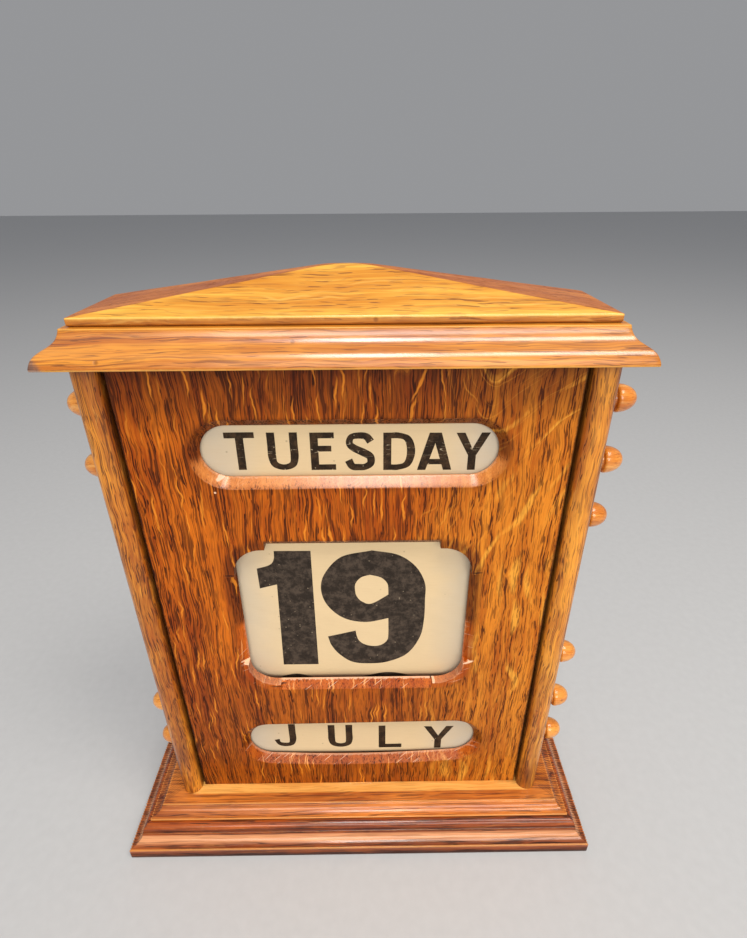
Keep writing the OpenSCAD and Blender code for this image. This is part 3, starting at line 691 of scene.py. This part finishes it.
PANEL_OAK = polished_oak("panel_quartered_oak", "#d06c12", "#963f04", "#240801", "#e58a26", "z",
                         coat=0.12, coat_rough=0.2, gloss=0.1, shift=(7.0, 0.0, 31.0), local=panel_figure_and_shade)
dressed("front_panel_dressed", "front_panel", PANEL_OAK, 0.3)

# ----------------------------------------
# Battens and back panel. Two small softwood battens carry the front panel; the
# back is one thin oak board held by six brass screws, plainly finished.
PLAIN = {"pores": 0.35, "flecks": 0.2, "coat": 0.05, "coat_rough": 0.4}
INNER_WOOD = polished_oak("inner_softwood", "#c79a68", "#a0703f", "#6b4324", "#d8b184", "z", **PLAIN)
ROLLER_WOOD = polished_oak("roller_softwood", "#cfa474", "#a87a48", "#73482a", "#dcb98c", "x", **PLAIN)
BACK_OAK = polished_oak("back_oak_plain", "#b5773c", "#83491f", "#3f1d0c", "#cf9654", "z", pores=0.9,
                        flecks=0.3, broad=0.25, coat=0.15, coat_rough=0.3, shift=(90.0, 40.0, 15.0))
for side in ("left", "right"):
    dressed(f"{side}_batten_planed", f"{side}_panel_batten", INNER_WOOD, 0.3)
dressed("back_panel_dressed", "back_panel", BACK_OAK, 0.5)

BACK_Y = 37.16            # outer face of the back panel
BACK_SCREW_R = 2.8
BACK_SCREWS = [(x, z, turn) for x, turns in ((-96.8, (0.5, 2.1, 1.2)), (96.8, (2.7, 0.2, 1.6)))
               for z, turn in zip((48.5, 149.6, 250.7), turns)]


def welded(made):
    """Points that coincide are joined and all faces turned outwards."""
    work = bmesh.new()
    work.from_mesh(made.data)
    bmesh.ops.remove_doubles(work, verts=work.verts, dist=1e-6)
    bmesh.ops.recalc_face_normals(work, faces=work.faces)
    work.to_mesh(made.data)
    work.free()
    return made


def slotted_screw(x, z, turn):
    """A brass screw in the back. Its head is rows of points along the slot, each a chord of the round
    head, raised as a shallow dome and dropped between the slot's walls; its rim, the cone under it and
    its shank turn round its axis."""
    r, slot, c, s = BACK_SCREW_R, 0.35, math.cos(turn), math.sin(turn)
    half = np.linspace(slot + 0.02, r * 0.999, 10)
    v = np.concatenate([-half[::-1], [-slot, slot], half])[:, None]
    u = np.sqrt(r * r - v * v) * np.linspace(-1, 1, 21)
    h = np.where(np.abs(v) <= slot, 0.5, 1.38 - 0.6 * (u ** 2 + v ** 2) / r ** 2)
    head = np.stack([u * c - v * s + x, BACK_Y + h, u * s + v * c + z], -1)
    rim = np.linspace(0, 2 * math.pi, 41)[:-1]
    side = np.array([[r, 0.8], [r, 0.05], [1.4, 0.0], [1.4, -12.5], [0.3, -14.0]])
    skirt = np.stack([x + side[:, :1] * np.cos(rim), BACK_Y + side[:, 1:] + 0 * rim,
                      z + side[:, :1] * np.sin(rim)], -1)
    return together((head, grid_faces(*u.shape)), (skirt, grid_faces(len(side), len(rim), ring=True)))


screws = piece("back_slotted_screws", together(*[slotted_screw(*spot) for spot in BACK_SCREWS]), "case",
               BRASS, ["back_panel_screws"])
welded(screws).data.set_sharp_from_angle(angle=math.radians(35))

# ----------------------------------------
# Rollers. Six turned softwood rollers with a shoulder at each end; the linen is
# tacked round them. The date rollers turn on a plain pin at the left.
for name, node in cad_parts.items():
    if name.endswith("_roller"):
        node.data.materials[0] = ROLLER_WOOD
for place in ("upper", "lower"):
    dressed(f"date_{place}_left_pin_turned", f"date_{place}_left_pin", ROLLER_WOOD, 0.3,
            body=f"date_{place}_roll")

# ----------------------------------------
# Knobs. Turned in one with the shank that runs through the side board into the
# roller: a collar, a waisted neck and a domed head, polished. The left knobs
# have shorter necks.

# y of the axes, z of the upper and lower axis, radius wound on each, radius of the rollers.
ROLLS = {"day": (5.759, 253.9, 225.3, 11.20, 11.32, 11.0), "date": (8.315, 194.9, 106.3, 13.03, 12.13, 10.0),
         "month": (5.759, 74.6, 46.0, 11.43, 11.37, 11.0)}
SIDE_FACE_X = 102.5       # where the knobs' collars start, just off the side boards
KNOB_WOOD = polished_oak("knob_polished", "#f2a548", "#c8701c", "#5c210c", "#f8c272", "x", pores=0.3,
                         streaks=0.3, flecks=0.5, lean=0.02, coat=0.9, coat_rough=0.1,
                         shift=(3.0, 9.0, 0.0))


def turned_knob(side, y, z, neck, seed):
    """A turned profile of [length, radius] carried round the shank's axis, a little out of round."""
    t = np.linspace(0, 1, 9)
    a = np.radians(np.linspace(0, 84, 11))
    waist = np.stack([1 + t * (neck - 2), 4 - 0.6 * np.sin(math.pi * t)], -1)
    dome = np.stack([neck + 0.8 + 8.4 * np.sin(a), 6.1 * np.cos(a) ** 0.9], -1)
    path = eased(np.vstack([[[-25.4, 0.2], [-25.4, 2.9], [-24.9, 3.0], [0, 3.0], [0, 4.0]], waist,
                            [[neck, 4.0], [neck, 5.6]], dome, [[neck + 9.17, 0.08]]]), 0.28)
    turn = np.linspace(0, 2 * math.pi, 49)[:-1]
    spin = np.random.default_rng(seed).uniform(0, 6.28)
    r = path[:, 1:] * (1 + 0.006 * np.sin(2 * turn + spin)) * (1 + 0.003 * waver(path[:, :1], 2.2, seed))
    out = side * (SIDE_FACE_X + path[:, :1])
    points = np.stack([out + 0 * r, y + r * np.cos(turn), z + r * np.sin(turn)], -1)
    wear = np.interp(path[:, 0], [-1, 0.2, neck - 0.5, neck + 0.4, neck + 9], [-0.5, -0.6, -0.4, 0.1, 0.25])
    return closed_board(points), wear[:, None] + 0 * turn


for band, (y, up, down, *_) in ROLLS.items():
    for place, z in (("upper", up), ("lower", down)):
        for side, word, neck in ((-1, "left", 4.6), (1, "right", 7.4)):
            if band == "date" and side < 0:
                continue
            node = f"{band}_{place}_{word}_knob"
            shape, wear = turned_knob(side, y, z, neck, int(z) + side)
            welded(piece(f"{node}_turned", shape, f"{band}_{place}_roll", KNOB_WOOD, [node],
                         wear=wear))

# ----------------------------------------
# Wound linen. What each roller has taken up of its band, as the spiral that the
# cloth really lies in, one thickness to a turn, its outer end at the front.
LINEN_T, LINEN_HALF = 0.15, 78.0
WARP_GAP, WEFT_GAP = 0.46, 0.5


def linen_cloth(name, pale, edge):
    """Sized linen: warm cream, greyer towards its edges as painted shade from the windows' sides, fine
    crossed threads, faint stains and creases.
    """
    material, b, shader, place = new_material(name)
    x, _, z = b.parts(place)
    cloud = b.noise(b.scaled(place, 0.045), detail=3.0)
    fleck, pick = b.cells(b.scaled(place, 0.16))
    stain = b.fade(fleck, 0.1, 0.03) * b.fade(pick, 0.6, 0.7)
    slub = b.noise(b.point(x * 0.12, 0.0, z * 1.9))
    # Painted shade: greyer towards the band's edges, by the sides of the windows.
    colour = b.mix(b.fade(abs(x) + cloud * 26.0, 44.0, 76.0) * 0.8, tint(pale), tint(edge))
    for amount, hexes in ((b.fade(cloud, 0.45, 0.7) * 0.35, "#d8bd92"),
                          (b.fade(slub, 0.4, 0.7) * 0.12, "#c9ad84"), (stain * 0.55, "#8e7a60")):
        colour = b.mix(amount, colour, tint(hexes))
    warp, weft = (b.math("SINE", v * (2 * math.pi / gap)) for v, gap in ((x, WARP_GAP), (z, WEFT_GAP)))
    b.surface(shader, colour, 0.5 + cloud * 0.2, warp * 0.006 + weft * 0.006 + slub * 0.03, Sheen_Weight=0.12)
    return material


LINEN = linen_cloth("linen_sized", "#dfc498", "#beb6a8")


def wound_linen(y, z, core, outer, way):
    """Spiral of cloth round (y, z), its radius falling one thickness a turn from outer to core; way 1 is
    wound up and over from the front, -1 down and under. Also gives the length of the cloth in it."""
    turns = (outer - core - 0.02) / LINEN_T
    a = np.linspace(0, 2 * math.pi * turns, int(turns * 44) + 20)[:, None]
    r = outer - LINEN_T * a / (2 * math.pi)
    x = np.linspace(-1, 1, 5) * (LINEN_HALF - 0.1) + 0.15 * waver(a, 9.0, 5)
    points = np.stack([x, y - r * np.cos(a) + 0 * x, z + way * r * np.sin(a) + 0 * x], -1)
    length = float(np.sum(np.hypot(*np.diff(points[:, 0, 1:], axis=0).T)))
    faces = grid_faces(len(a), 5)
    return (points, faces if way > 0 else faces[:, ::-1]), length


for band, (y, up, down, r_up, r_down, core) in ROLLS.items():
    for place, z, r, way in (("upper", up, r_up, 1), ("lower", down, r_down, -1)):
        shape, length = wound_linen(y, z, core + 0.02, r, way)
        roll = piece(f"{band}_{place}_wound_linen", shape, f"{band}_{place}_roll", LINEN,
                     [f"{band}_{place}_linen_roll"])
        length * MM

# ----------------------------------------
# Linen bands. The stretch of each band between its two rolls, held flat by them
# behind its window, with the slight waves of cloth that has been wound for years.
WRAP = 11.0               # cloth that still lies round each roll, beyond its front
OFF_ROLL = 0.5            # how far out from the wound cloth the band leaves a roll


def on_linen(band, x, h, lift=0.0):
    """The place on a band for x across and h, the height it would have on a straight web: between the
    rollers' axes the cloth runs straight, past them h is spent round the roll. lift is out from the cloth."""
    y, up, down, r_up, r_down, _ = ROLLS[band]
    t = np.clip((h - down) / (up - down), 0, 1)
    past = np.where(h > up, h - up, np.where(h < down, down - h, 0.0))
    r = np.where(h > up, r_up, r_down) + OFF_ROLL
    turned = past / r
    reach = r - 0.36 * np.clip(past / WRAP, 0, 1) ** 2 + lift
    flat_y = y - (r_down + OFF_ROLL) * (1 - t) - (r_up + OFF_ROLL) * t
    wave = np.sin(math.pi * t) * (0.1 * waver(x, 58.0, 4) + 0.06 * waver(x + 2 * h, 31.0, 9))
    depth = np.where(past > 0, y - reach * np.cos(turned), flat_y - lift + wave)
    height = np.clip(h, down, up) + np.sign(h - np.clip(h, down, up)) * reach * np.sin(turned)
    return np.stack(np.broadcast_arrays(x, depth, height), -1)


for band, (_, up, down, *_) in ROLLS.items():
    x = np.linspace(-LINEN_HALF, LINEN_HALF, 79)[None]
    h = np.linspace(up + WRAP, down - WRAP, int((up - down + 2 * WRAP) / 1.2))[:, None]
    points = on_linen(band, x + 0.12 * waver(h, 17.0, 2) * np.sign(x) * (np.abs(x) > 77), h)
    faces = grid_faces(*points.shape[:2])
    length = float(np.sum(np.linalg.norm(np.diff(points[:, 39], axis=0), axis=1)))
    web = piece(f"{band}_linen_web", (points, faces), "case", LINEN, [f"{band}_linen_band"])
    thick = web.modifiers.new("thick", "SOLIDIFY")
    thick.thickness, thick.offset = LINEN_T * MM, -1
    length * MM

# ----------------------------------------
# Print. Plain block letters and numbers pressed on the linen in black ink, now
# dusty, with hairline cracks where the cloth has bent over the rollers.


def printers_ink():
    """Old black ink: near black, greyed by dust in patches along the cloth's threads, specked where it
    has lifted, and crossed by hairline cracks along x."""
    material, b, shader, place = new_material("printers_ink")
    x, _, z = b.parts(place)
    cloud = b.noise(b.scaled(place, 0.2), detail=6.0, rough=0.75)
    across = b.noise(b.point(x * 0.4, 0.0, z * 3.0))
    downward = b.noise(b.point(x * 3.0, 0.0, z * 0.4))
    dust = b.fade(cloud, 0.42, 0.62) * 0.7 + (across + downward) * 0.28
    number = b.fade(abs(z - 147.0), 60.0, 50.0)
    colour = b.mix(dust, tint("#0a0502"), b.mix(number, tint("#463423"), tint("#50443a")))
    far, pick = b.cells(b.scaled(place, 0.55))
    speck = b.fade(far, 0.17, 0.06) * b.fade(pick, 0.82, 0.86)
    wander = b.noise(b.point(x * 0.16, 0.0, z * 0.5), detail=3.0)
    line = b.noise(b.point(x * 0.05, 0.0, z * 0.42 + wander * 0.9), detail=0.0)
    crack = b.fade(abs(line - 0.5), 0.012, 0.004)
    broken = b.fade(b.noise(b.scaled(place, 0.5), detail=1.0), 0.4, 0.55)
    crack = crack * broken * b.fade(abs(z - 236.6), 5.0, 1.5)
    colour = b.mix(b.most(speck, crack) * 0.75, colour, tint("#cbb899"))
    b.surface(shader, colour, 0.42 + dust * 0.3, (cloud + across) * 0.02, Specular_IOR_Level=0.15)
    return material


INK = printers_ink()
INK_LIFT, INK_STEP = 0.04, 0.004    # off the cloth, and between strokes that cross


def line(*points, n=24):
    """Straight lengths through the points, the same number of steps in each."""
    p = np.array(points, float)
    t = np.linspace(0, len(p) - 1, n)
    return np.stack([np.interp(t, np.arange(len(p)), p[:, k]) for k in (0, 1)], -1)


def curve(*points, n=56):
    """A smooth line through the points: between two of them a cubic that leaves each along the chord of
    its neighbours (Catmull-Rom)."""
    p = np.array(points, float)
    p = np.vstack([2 * p[0] - p[1], p, 2 * p[-1] - p[-2]])
    t = np.linspace(0, len(p) - 3 - 1e-9, n)
    i = t.astype(int)
    f = (t - i)[:, None]
    a, b, c, d = p[i], p[i + 1], p[i + 2], p[i + 3]
    return 0.5 * (2 * b + (c - a) * f + (2 * a - 5 * b + 4 * c - d) * f ** 2
                  + (3 * b - a - 3 * c + d) * f ** 3)


def brush(centre, width):
    """The two edges of a stroke: half the width out from a centre line along its normal."""
    run = np.gradient(centre, axis=0)
    run /= np.linalg.norm(run, axis=1, keepdims=True)
    off = np.stack([-run[:, 1], run[:, 0]], -1) * np.reshape(width, (-1, 1)) / 2
    return centre + off, centre - off


def box_stroke(x0, x1, z0, z1):
    """A straight bar's two long edges."""
    if x1 - x0 > z1 - z0:
        return line((x0, z1), (x1, z1)), line((x0, z0), (x1, z0))
    return line((x0, z1), (x0, z0)), line((x1, z1), (x1, z0))


def glyph(letter, w, h, a, c):
    """Block letter w wide and h high from its lower left corner, as strips between pairs of edges;
    a is the width of its upright strokes, c of its level ones. Curves go through shares of w and h."""
    m, k = w / 2, 0.5 * (a + c)

    def at(*shares):
        return [(w * u, h * v) for u, v in shares]

    def mirrored(edges):
        return tuple(np.array([w, 0]) - e * [1, -1] for e in edges)

    post, foot, stem = box_stroke(0, a, 0, h), box_stroke(a, w, 0, c), (m - a / 2, m + a / 2)
    if letter == "T":
        return [box_stroke(0, w, h - c, h), box_stroke(*stem, 0, h - c)]
    if letter == "E":
        return [post, box_stroke(a, w * 0.96, h - c, h), box_stroke(a, w * 0.84, h * 0.5, h * 0.5 + c), foot]
    if letter == "L":
        return [post, foot]
    if letter == "U":
        halves = (at((0, 1), (0, 0.65), (0, 0.33), (0.13, 0.09), (0.5, 0)),
                  [(a, h), (a, h * 0.65), (a, h * 0.36), (w * 0.13 + k * 0.72, h * 0.09 + k * 0.68), (m, c)])
        return [tuple(curve(*left, *((w - x, z) for x, z in left[-2::-1])) for left in halves)]
    if letter == "D":
        halves = ([(a, h), *at((0.48, 1), (0.84, 0.9), (1, 0.64))],
                  [(a, h - c), (w * 0.45, h - c), (w * 0.66, h * 0.8), (w - a, h * 0.62)])
        return [post, tuple(curve(*top, *((x, h - z) for x, z in top[::-1])) for top in halves)]
    if letter == "J":
        outer = curve(*at((1, 1), (1, 0.65), (1, 0.32), (0.86, 0.08), (0.52, 0), (0.16, 0.07)),
                      (-0.2, h * 0.3))
        inner = curve((w - a, h), (w - a, h * 0.65), (w - a, h * 0.35),
                      (w * 0.86 - k * 0.7, h * 0.08 + k * 0.6), (w * 0.52, c),
                      (w * 0.16 + k * 0.4, h * 0.07 + k * 0.72), (a * 0.72, h * 0.34))
        return [(outer, inner)]
    if letter == "S":
        centre = curve(*at((0.86, 0.76), (0.72, 0.89)), (w * 0.48, h - c / 2),
                       *at((0.2, 0.88), (0.14, 0.71), (0.3, 0.59), (0.62, 0.47), (0.84, 0.36), (0.85, 0.18),
                           (0.66, 0.085)), (w * 0.46, c / 2), *at((0.22, 0.1), (0.09, 0.27)), n=80)
        widths = np.interp(np.linspace(0, 1, 80), [0, 0.25, 0.5, 0.75, 1], [a, c, a * 1.05, c * 1.1, a])
        return [brush(centre, widths)]
    if letter == "A":
        flat, notch, foot_x = w * 0.17, h * 0.72, a * 1.06
        lean = (m - flat) / h
        leg = line((0, 0), (lean * notch, notch), (m - flat, h)), line((foot_x, 0), (m, notch), (m, h))
        ends = [(foot_x + (m - foot_x) * z / notch, z) for z in (h * 0.155, h * 0.3)]
        bar = line(*ends), line(*((w - x, z) for x, z in ends))
        return [leg, mirrored(leg), bar]
    fork, notch = h * 0.4, h * 0.58
    arm = (line((0, h), (stem[0] * (h - notch) / (h - fork), notch), (stem[0], fork)),
           line((a * 1.1, h), (m, notch), (m, fork)))
    return [arm, mirrored(arm), box_stroke(*stem, 0, fork)]


def printed(name, band, strips):
    """Ink as a mesh on the cloth: each strip is filled between its two edges and faces out."""
    shapes = []
    for k, (a, b) in enumerate(strips):
        t = np.linspace(0, 1, 9)[:, None, None]
        flat = a * (1 - t) + b * t
        points = on_linen(band, flat[..., 0], flat[..., 1], INK_LIFT + INK_STEP * (k % 3))
        faces = grid_faces(*points.shape[:2])
        over, along = points[-1].mean(0) - points[0].mean(0), points[:, -1].mean(0) - points[:, 0].mean(0)
        shapes.append((points, faces if np.cross(over, along)[1] > 0 else faces[:, ::-1]))
    return piece(name, together(*shapes), "case", INK)


def set_line(words, z0, slope, h, a, c):
    """Letters set along a line: each entry is a letter, the x of its left side and its width."""
    return [tuple(edge + [x, z0 + slope * (x + w / 2)] for edge in pair)
            for letter, x, w in words for pair in glyph(letter, w, h, a, c)]


day_words = [("T", -51.1, 12.3), ("U", -33.8, 12.5), ("E", -16.3, 10.3), ("S", -1.8, 12.0), ("D", 13.7, 12.9),
             ("A", 27.8, 14.4), ("Y", 43.4, 14.0)]
printed("day_print", "day", set_line(day_words, 227.45, -0.0108, 17.1, 3.3, 2.6))
month_words = [("J", -47.6, 12.2), ("U", -17.2, 13.7), ("L", 11.3, 13.0), ("Y", 36.6, 16.7)]
printed("month_print", "month", set_line(month_words, 47.0, -0.036, 18.9, 3.8, 3.1))
nine = [
    (curve((8.6, 185.1), (-5.5, 181.6), (-13.6, 172.0), (-15.9, 162.5), (-13.4, 152.5), (-6.0, 144.2),
           (5.0, 141.1), (17.8, 143.9), n=70),
     curve((7.6, 170.9), (3.4, 169.4), (0.7, 165.9), (0.3, 161.9), (1.1, 157.7), (3.7, 154.4), (8.4, 153.2),
           (17.8, 159.8), n=70)),
    (curve((8.6, 185.1), (20.6, 182.4), (29.0, 175.4), (33.6, 165.4), (34.0, 155.0), (34.0, 143.0),
           (32.3, 130.5), (26.2, 119.0), (16.5, 113.4), (7.2, 112.1), (-2.0, 113.4), (-8.6, 119.0),
           (-12.4, 125.4), (-14.0, 131.6), n=120),
     curve((7.6, 170.9), (12.6, 169.2), (15.6, 165.8), (16.2, 161.6), (16.2, 155.0), (16.3, 143.6),
           (16.4, 133.4), (15.8, 128.6), (12.8, 125.4), (8.6, 124.6), (4.2, 126.0), (1.6, 128.6),
           (0.5, 131.8), (0.0, 135.4), n=120))]
one = [(line((-36.3, 185.3), (-36.6, 164.8), (-37.9, 112.0), n=50),
        line((-19.5, 185.2), (-19.6, 164.8), (-19.8, 112.0), n=50)),
       (curve((-36.3, 185.3), (-36.6, 181.0), (-38.8, 177.4), (-45.1, 175.2), n=20),
        line((-36.6, 165.6), (-44.9, 163.3), n=20))]
two = [brush(curve((-43.0, 90.0), (-41.0, 97.5), (-34.5, 101.6), (-29.0, 101.4), (-22.0, 96.5), n=40), 6.0)]
nought = [brush(curve((-0.5, 87.0), (2.5, 96.6), (9.5, 101.0), (16.5, 102.4), (23.5, 101.0), (30.5, 96.6),
                      (33.5, 87.0), n=50), 6.0)]
printed("date_print", "date", one + nine + two + nought)

# ----------------------------------------
# Cornice. An oak board over the case, an ogee worked on its front and both
# ends, screwed down into the sides. The left tip has been knocked and worn.
CORNICE_LOW, CORNICE_TOP = 276.7, 289.3
CASE_HALF, CASE_BACK_Y = 102.2, 37.15


def cornice_tip(b, x, y, z, masks, colours):
    """The left tip, knocked back to bare grey wood, and the polish, thickest on the swell of the ogee."""
    ragged = b.noise(b.point(x * 0.4, y * 0.4, z * 0.4), detail=4.0)
    tip = b.fade(ragged * 8.0 + (x + (z - 277.0)), -98.5, -103.5)
    b.recolour(colours, tip * 0.95, Pale="#94705f", Deep="#5e4338", Fleck="#c3a493")
    swell = b.fade(z, 279.6, 281.6) * b.fade(z, 288.6, 286.8)
    masks["Coat"] = 0.2 + swell * 0.8


CORNICE_OAK = polished_oak("cornice_oak", "#e09432", "#ab5c18", "#4a1a06", "#ecb052", "x", pores=0.5,
                           streaks=0.45, flecks=0.2, lean=0.0, stretch=0.65, coat_rough=0.23,
                           shift=(0.0, 30.0, 200.0), local=cornice_tip)
CORNICE_OAK.node_tree.nodes["Principled BSDF"].inputs["Coat IOR"].default_value = 1.8
t = np.linspace(0, 1, 21)[:, None]
start, stop = np.array([-1.2, 288.8]), np.array([7.8, 277.5])
square_off = np.array([-11.3, -9.0]) / math.hypot(11.3, 9.0)
ogee = start + t * (stop - start) + 0.95 * np.sin(2 * math.pi * t) * square_off
points, wear, facing = moulding(
    np.vstack([[[-10.0, CORNICE_TOP], [-1.2, CORNICE_TOP]], ogee, [[7.8, CORNICE_LOW], [-1.0, CORNICE_LOW]]]),
    ease=0.3, arris=(0.4, 0.4), inward=7.0, half=CASE_HALF, back_y=CASE_BACK_Y, corner=(1.1, 0.45),
    ripple=(0.05, 1.9, 14), worn=(0.8, 0.3), ends=150, front=150)
points[..., 1] -= 0.05 * waver(points[..., 0], 47.0, 12) * (facing < -0.9)
cornice = piece("cornice_moulded_board", closed_board(points), "case", CORNICE_OAK,
                ["cornice_board"], wear=wear)
sunk_holes(cornice, CORNICE_TOP, -16.0)

# ----------------------------------------
# Pediment. A low hipped block planed to a blunt peak, glued on the cornice; its
# lower edge is rounded and darkened, painted shade along the dark line under it.
PEAK, EDGE_H = 19.0, 3.2  # height of the block in the middle and at its edge
BLOCK_HALF_W, BLOCK_HALF_D, BLOCK_Y = 99.0, 22.4, 9.55
END_FALL, SIDE_FALL = 0.1596, 0.7054    # how steeply the two ends and the two long sides slope
RIDGE = 0.16              # how softly the two pairs of slopes meet


def slope_up(distance, half, soft):
    """Height of one pair of slopes at a distance from the middle: straight, its ridge a parabola."""
    fall = (PEAK - EDGE_H) / half
    near = PEAK - fall * soft / 2 * (1 + (distance / soft) ** 2)
    return np.where(distance < soft, near, PEAK - fall * distance)


side = np.linspace(-1, 1, 61)[1:-1]
side = np.sign(side) * (1 - (1 - np.abs(side)) ** 2)
sx, sy, cx, cy = outline(side, side, -side, -side)
scale = np.concatenate([np.linspace(0.004, 0.2, 20), np.linspace(0.22, 0.985, 46)])
inset = np.concatenate([0 * scale, [0.32, 0.1, 0.0, 0.0, 0.06, 0.3, 0.8, 5.0]])[:, None]
drop = np.concatenate([np.nan * scale, [np.nan, 3.14, 2.86, 1.05, 0.75, 0.3, 0.0, 0.0]])[:, None]
scale = np.concatenate([scale, np.ones(8)])[:, None]
r = 0.5 * scale
x = sx * (scale * BLOCK_HALF_W - inset - r) + r * cx
y = sy * (scale * BLOCK_HALF_D - inset - r) + r * cy
ends, sides = slope_up(np.abs(x), BLOCK_HALF_W, 12.0), slope_up(np.abs(y), BLOCK_HALF_D, 2.3)
roof = -RIDGE * np.log(np.exp(-ends / RIDGE) + np.exp(-sides / RIDGE))
roof += 0.05 * waver(x + y, 44.0, 21) * (scale < 0.98)
points = np.stack([x, BLOCK_Y + y, CORNICE_TOP + np.where(np.isnan(drop), roof, drop)], -1)


def end_grain(b, x, y, z, masks, colours):
    """The two end slopes are end grain, which drinks the polish: browner and dull. The edge below the
    slopes is darker too."""
    end = b.fade(abs(x) * END_FALL - abs(y - BLOCK_Y) * SIDE_FALL, -0.05, 0.15)
    masks["Coat"] = (1.0 - end) * 0.4
    b.recolour(colours, b.fade(z, 292.3, 291.7), Pale="#c88430", Deep="#8e4a14")
    b.recolour(colours, end, Pale="#d98436", Deep="#a5541a", Fleck="#e09c54")


PEDIMENT_OAK = polished_oak("pediment_oak", "#e8b44a", "#c47e24", "#5e280a", "#f4c86c", "x", pores=0.5,
                            streaks=0.3, flecks=0.3, lean=0.0, stretch=0.7, coat_rough=0.18,
                            shift=(33.0, 8.0, 410.0), local=end_grain)
rows = len(points)
# Wear falls to -1 on the rounded lower edge: painted shade along the line under the block.
wear = np.interp(np.arange(rows), [0, rows - 9, rows - 7, rows - 5, rows - 4, rows - 1],
                 [0, 0, 0.7, 0.1, -0.4, -1])
piece("pediment_planed_block", closed_board(points), "case", PEDIMENT_OAK, ["pediment_block"],
      wear=wear[:, None] + 0 * sx)

# ----------------------------------------
# Floor, lamps and camera. A pale matt floor in dim even light, a key lamp high at
# the right, one over the front and a broad soft one; the camera looks down at it.
floor_paint = bpy.data.materials.new("pale_floor")
floor_paint.use_nodes = True
b = Bench(floor_paint.node_tree)
paint = floor_paint.node_tree.nodes["Principled BSDF"]
speck = b.noise(b.put("TexCoord", out=3), scale=180.0, detail=3.0)
b.feed(paint.inputs["Base Color"], b.mix(speck, tint("#bcbdbf"), tint("#c5c6c8")))
paint.inputs["Roughness"].default_value = 0.65
floor_mesh = bpy.data.meshes.new("studio_floor")
floor_mesh.from_pydata([(-6, -6, 0), (6, -6, 0), (6, 6, 0), (-6, 6, 0)], [], [(0, 1, 2, 3)])
floor_mesh.materials.append(floor_paint)
floor = placed("studio_floor", floor_mesh)

world = bpy.data.worlds.new("studio")
bpy.context.scene.world = world
world.use_nodes = True
world.node_tree.nodes["Background"].inputs["Color"].default_value = (0.84, 0.85, 0.88, 1)
world.node_tree.nodes["Background"].inputs["Strength"].default_value = 0.36


def aimed(made, across, up, back, place):
    """Sets a lamp or the camera at a place, its three axes in these directions."""
    made.matrix_world = Matrix([[across[i], up[i], back[i], place[i]] for i in range(3)] + [[0, 0, 0, 1]])


def lamp(name, place, aim, size, power, colour):
    """A soft square lamp at a place, facing a point."""
    data = bpy.data.lights.new(name, "AREA")
    data.shape, data.size, data.size_y = "RECTANGLE", size[0], size[1]
    data.energy, data.color = power, colour
    back = np.array(place, float) - np.array(aim, float)
    back /= np.linalg.norm(back)
    side = np.cross([0, 1, 0], back)
    side /= np.linalg.norm(side)
    aimed(placed(name, data), side, np.cross(back, side), back, place)


lamp("key", (0.62, -0.5, 1.62), (0, 0, 0.12), (0.7, 0.6), 11.0, (1.0, 0.94, 0.85))
lamp("ceiling", (0.0, -0.72, 1.95), (0, 0, 0.2), (0.36, 0.8), 16.0, (1.0, 0.96, 0.9))
lamp("front", (0.25, -2.3, 1.25), (0, 0, 0.17), (2.2, 1.0), 40.0, (1.0, 0.96, 0.9))

SENSOR, PICTURE_H, FOCAL, SHIFT = 36.0, 938, 547.65, -1.92    # sensor in mm, the rest in pixels
camera_data = bpy.data.cameras.new("camera")
camera = placed("camera", camera_data)
bpy.context.scene.camera = camera
camera_data.sensor_width = SENSOR
camera_data.lens = FOCAL / PICTURE_H * SENSOR
camera_data.shift_x = SHIFT / PICTURE_H
camera_data.clip_start, camera_data.clip_end = 0.01, 50.0
pitch, yaw, roll = (math.radians(v) for v in (-28.11, 0.43, -0.36))
ahead = np.array([math.sin(yaw) * math.cos(pitch), math.cos(yaw) * math.cos(pitch), math.sin(pitch)])
right = np.array([math.cos(yaw), -math.sin(yaw), 0.0])
above = np.cross(right, ahead)
c, s = math.cos(roll), math.sin(roll)
aimed(camera, right * c + above * s, above * c - right * s, -ahead, (0.00888, -0.20842, 0.33582))

bpy.context.scene.view_settings.view_transform = "Standard"
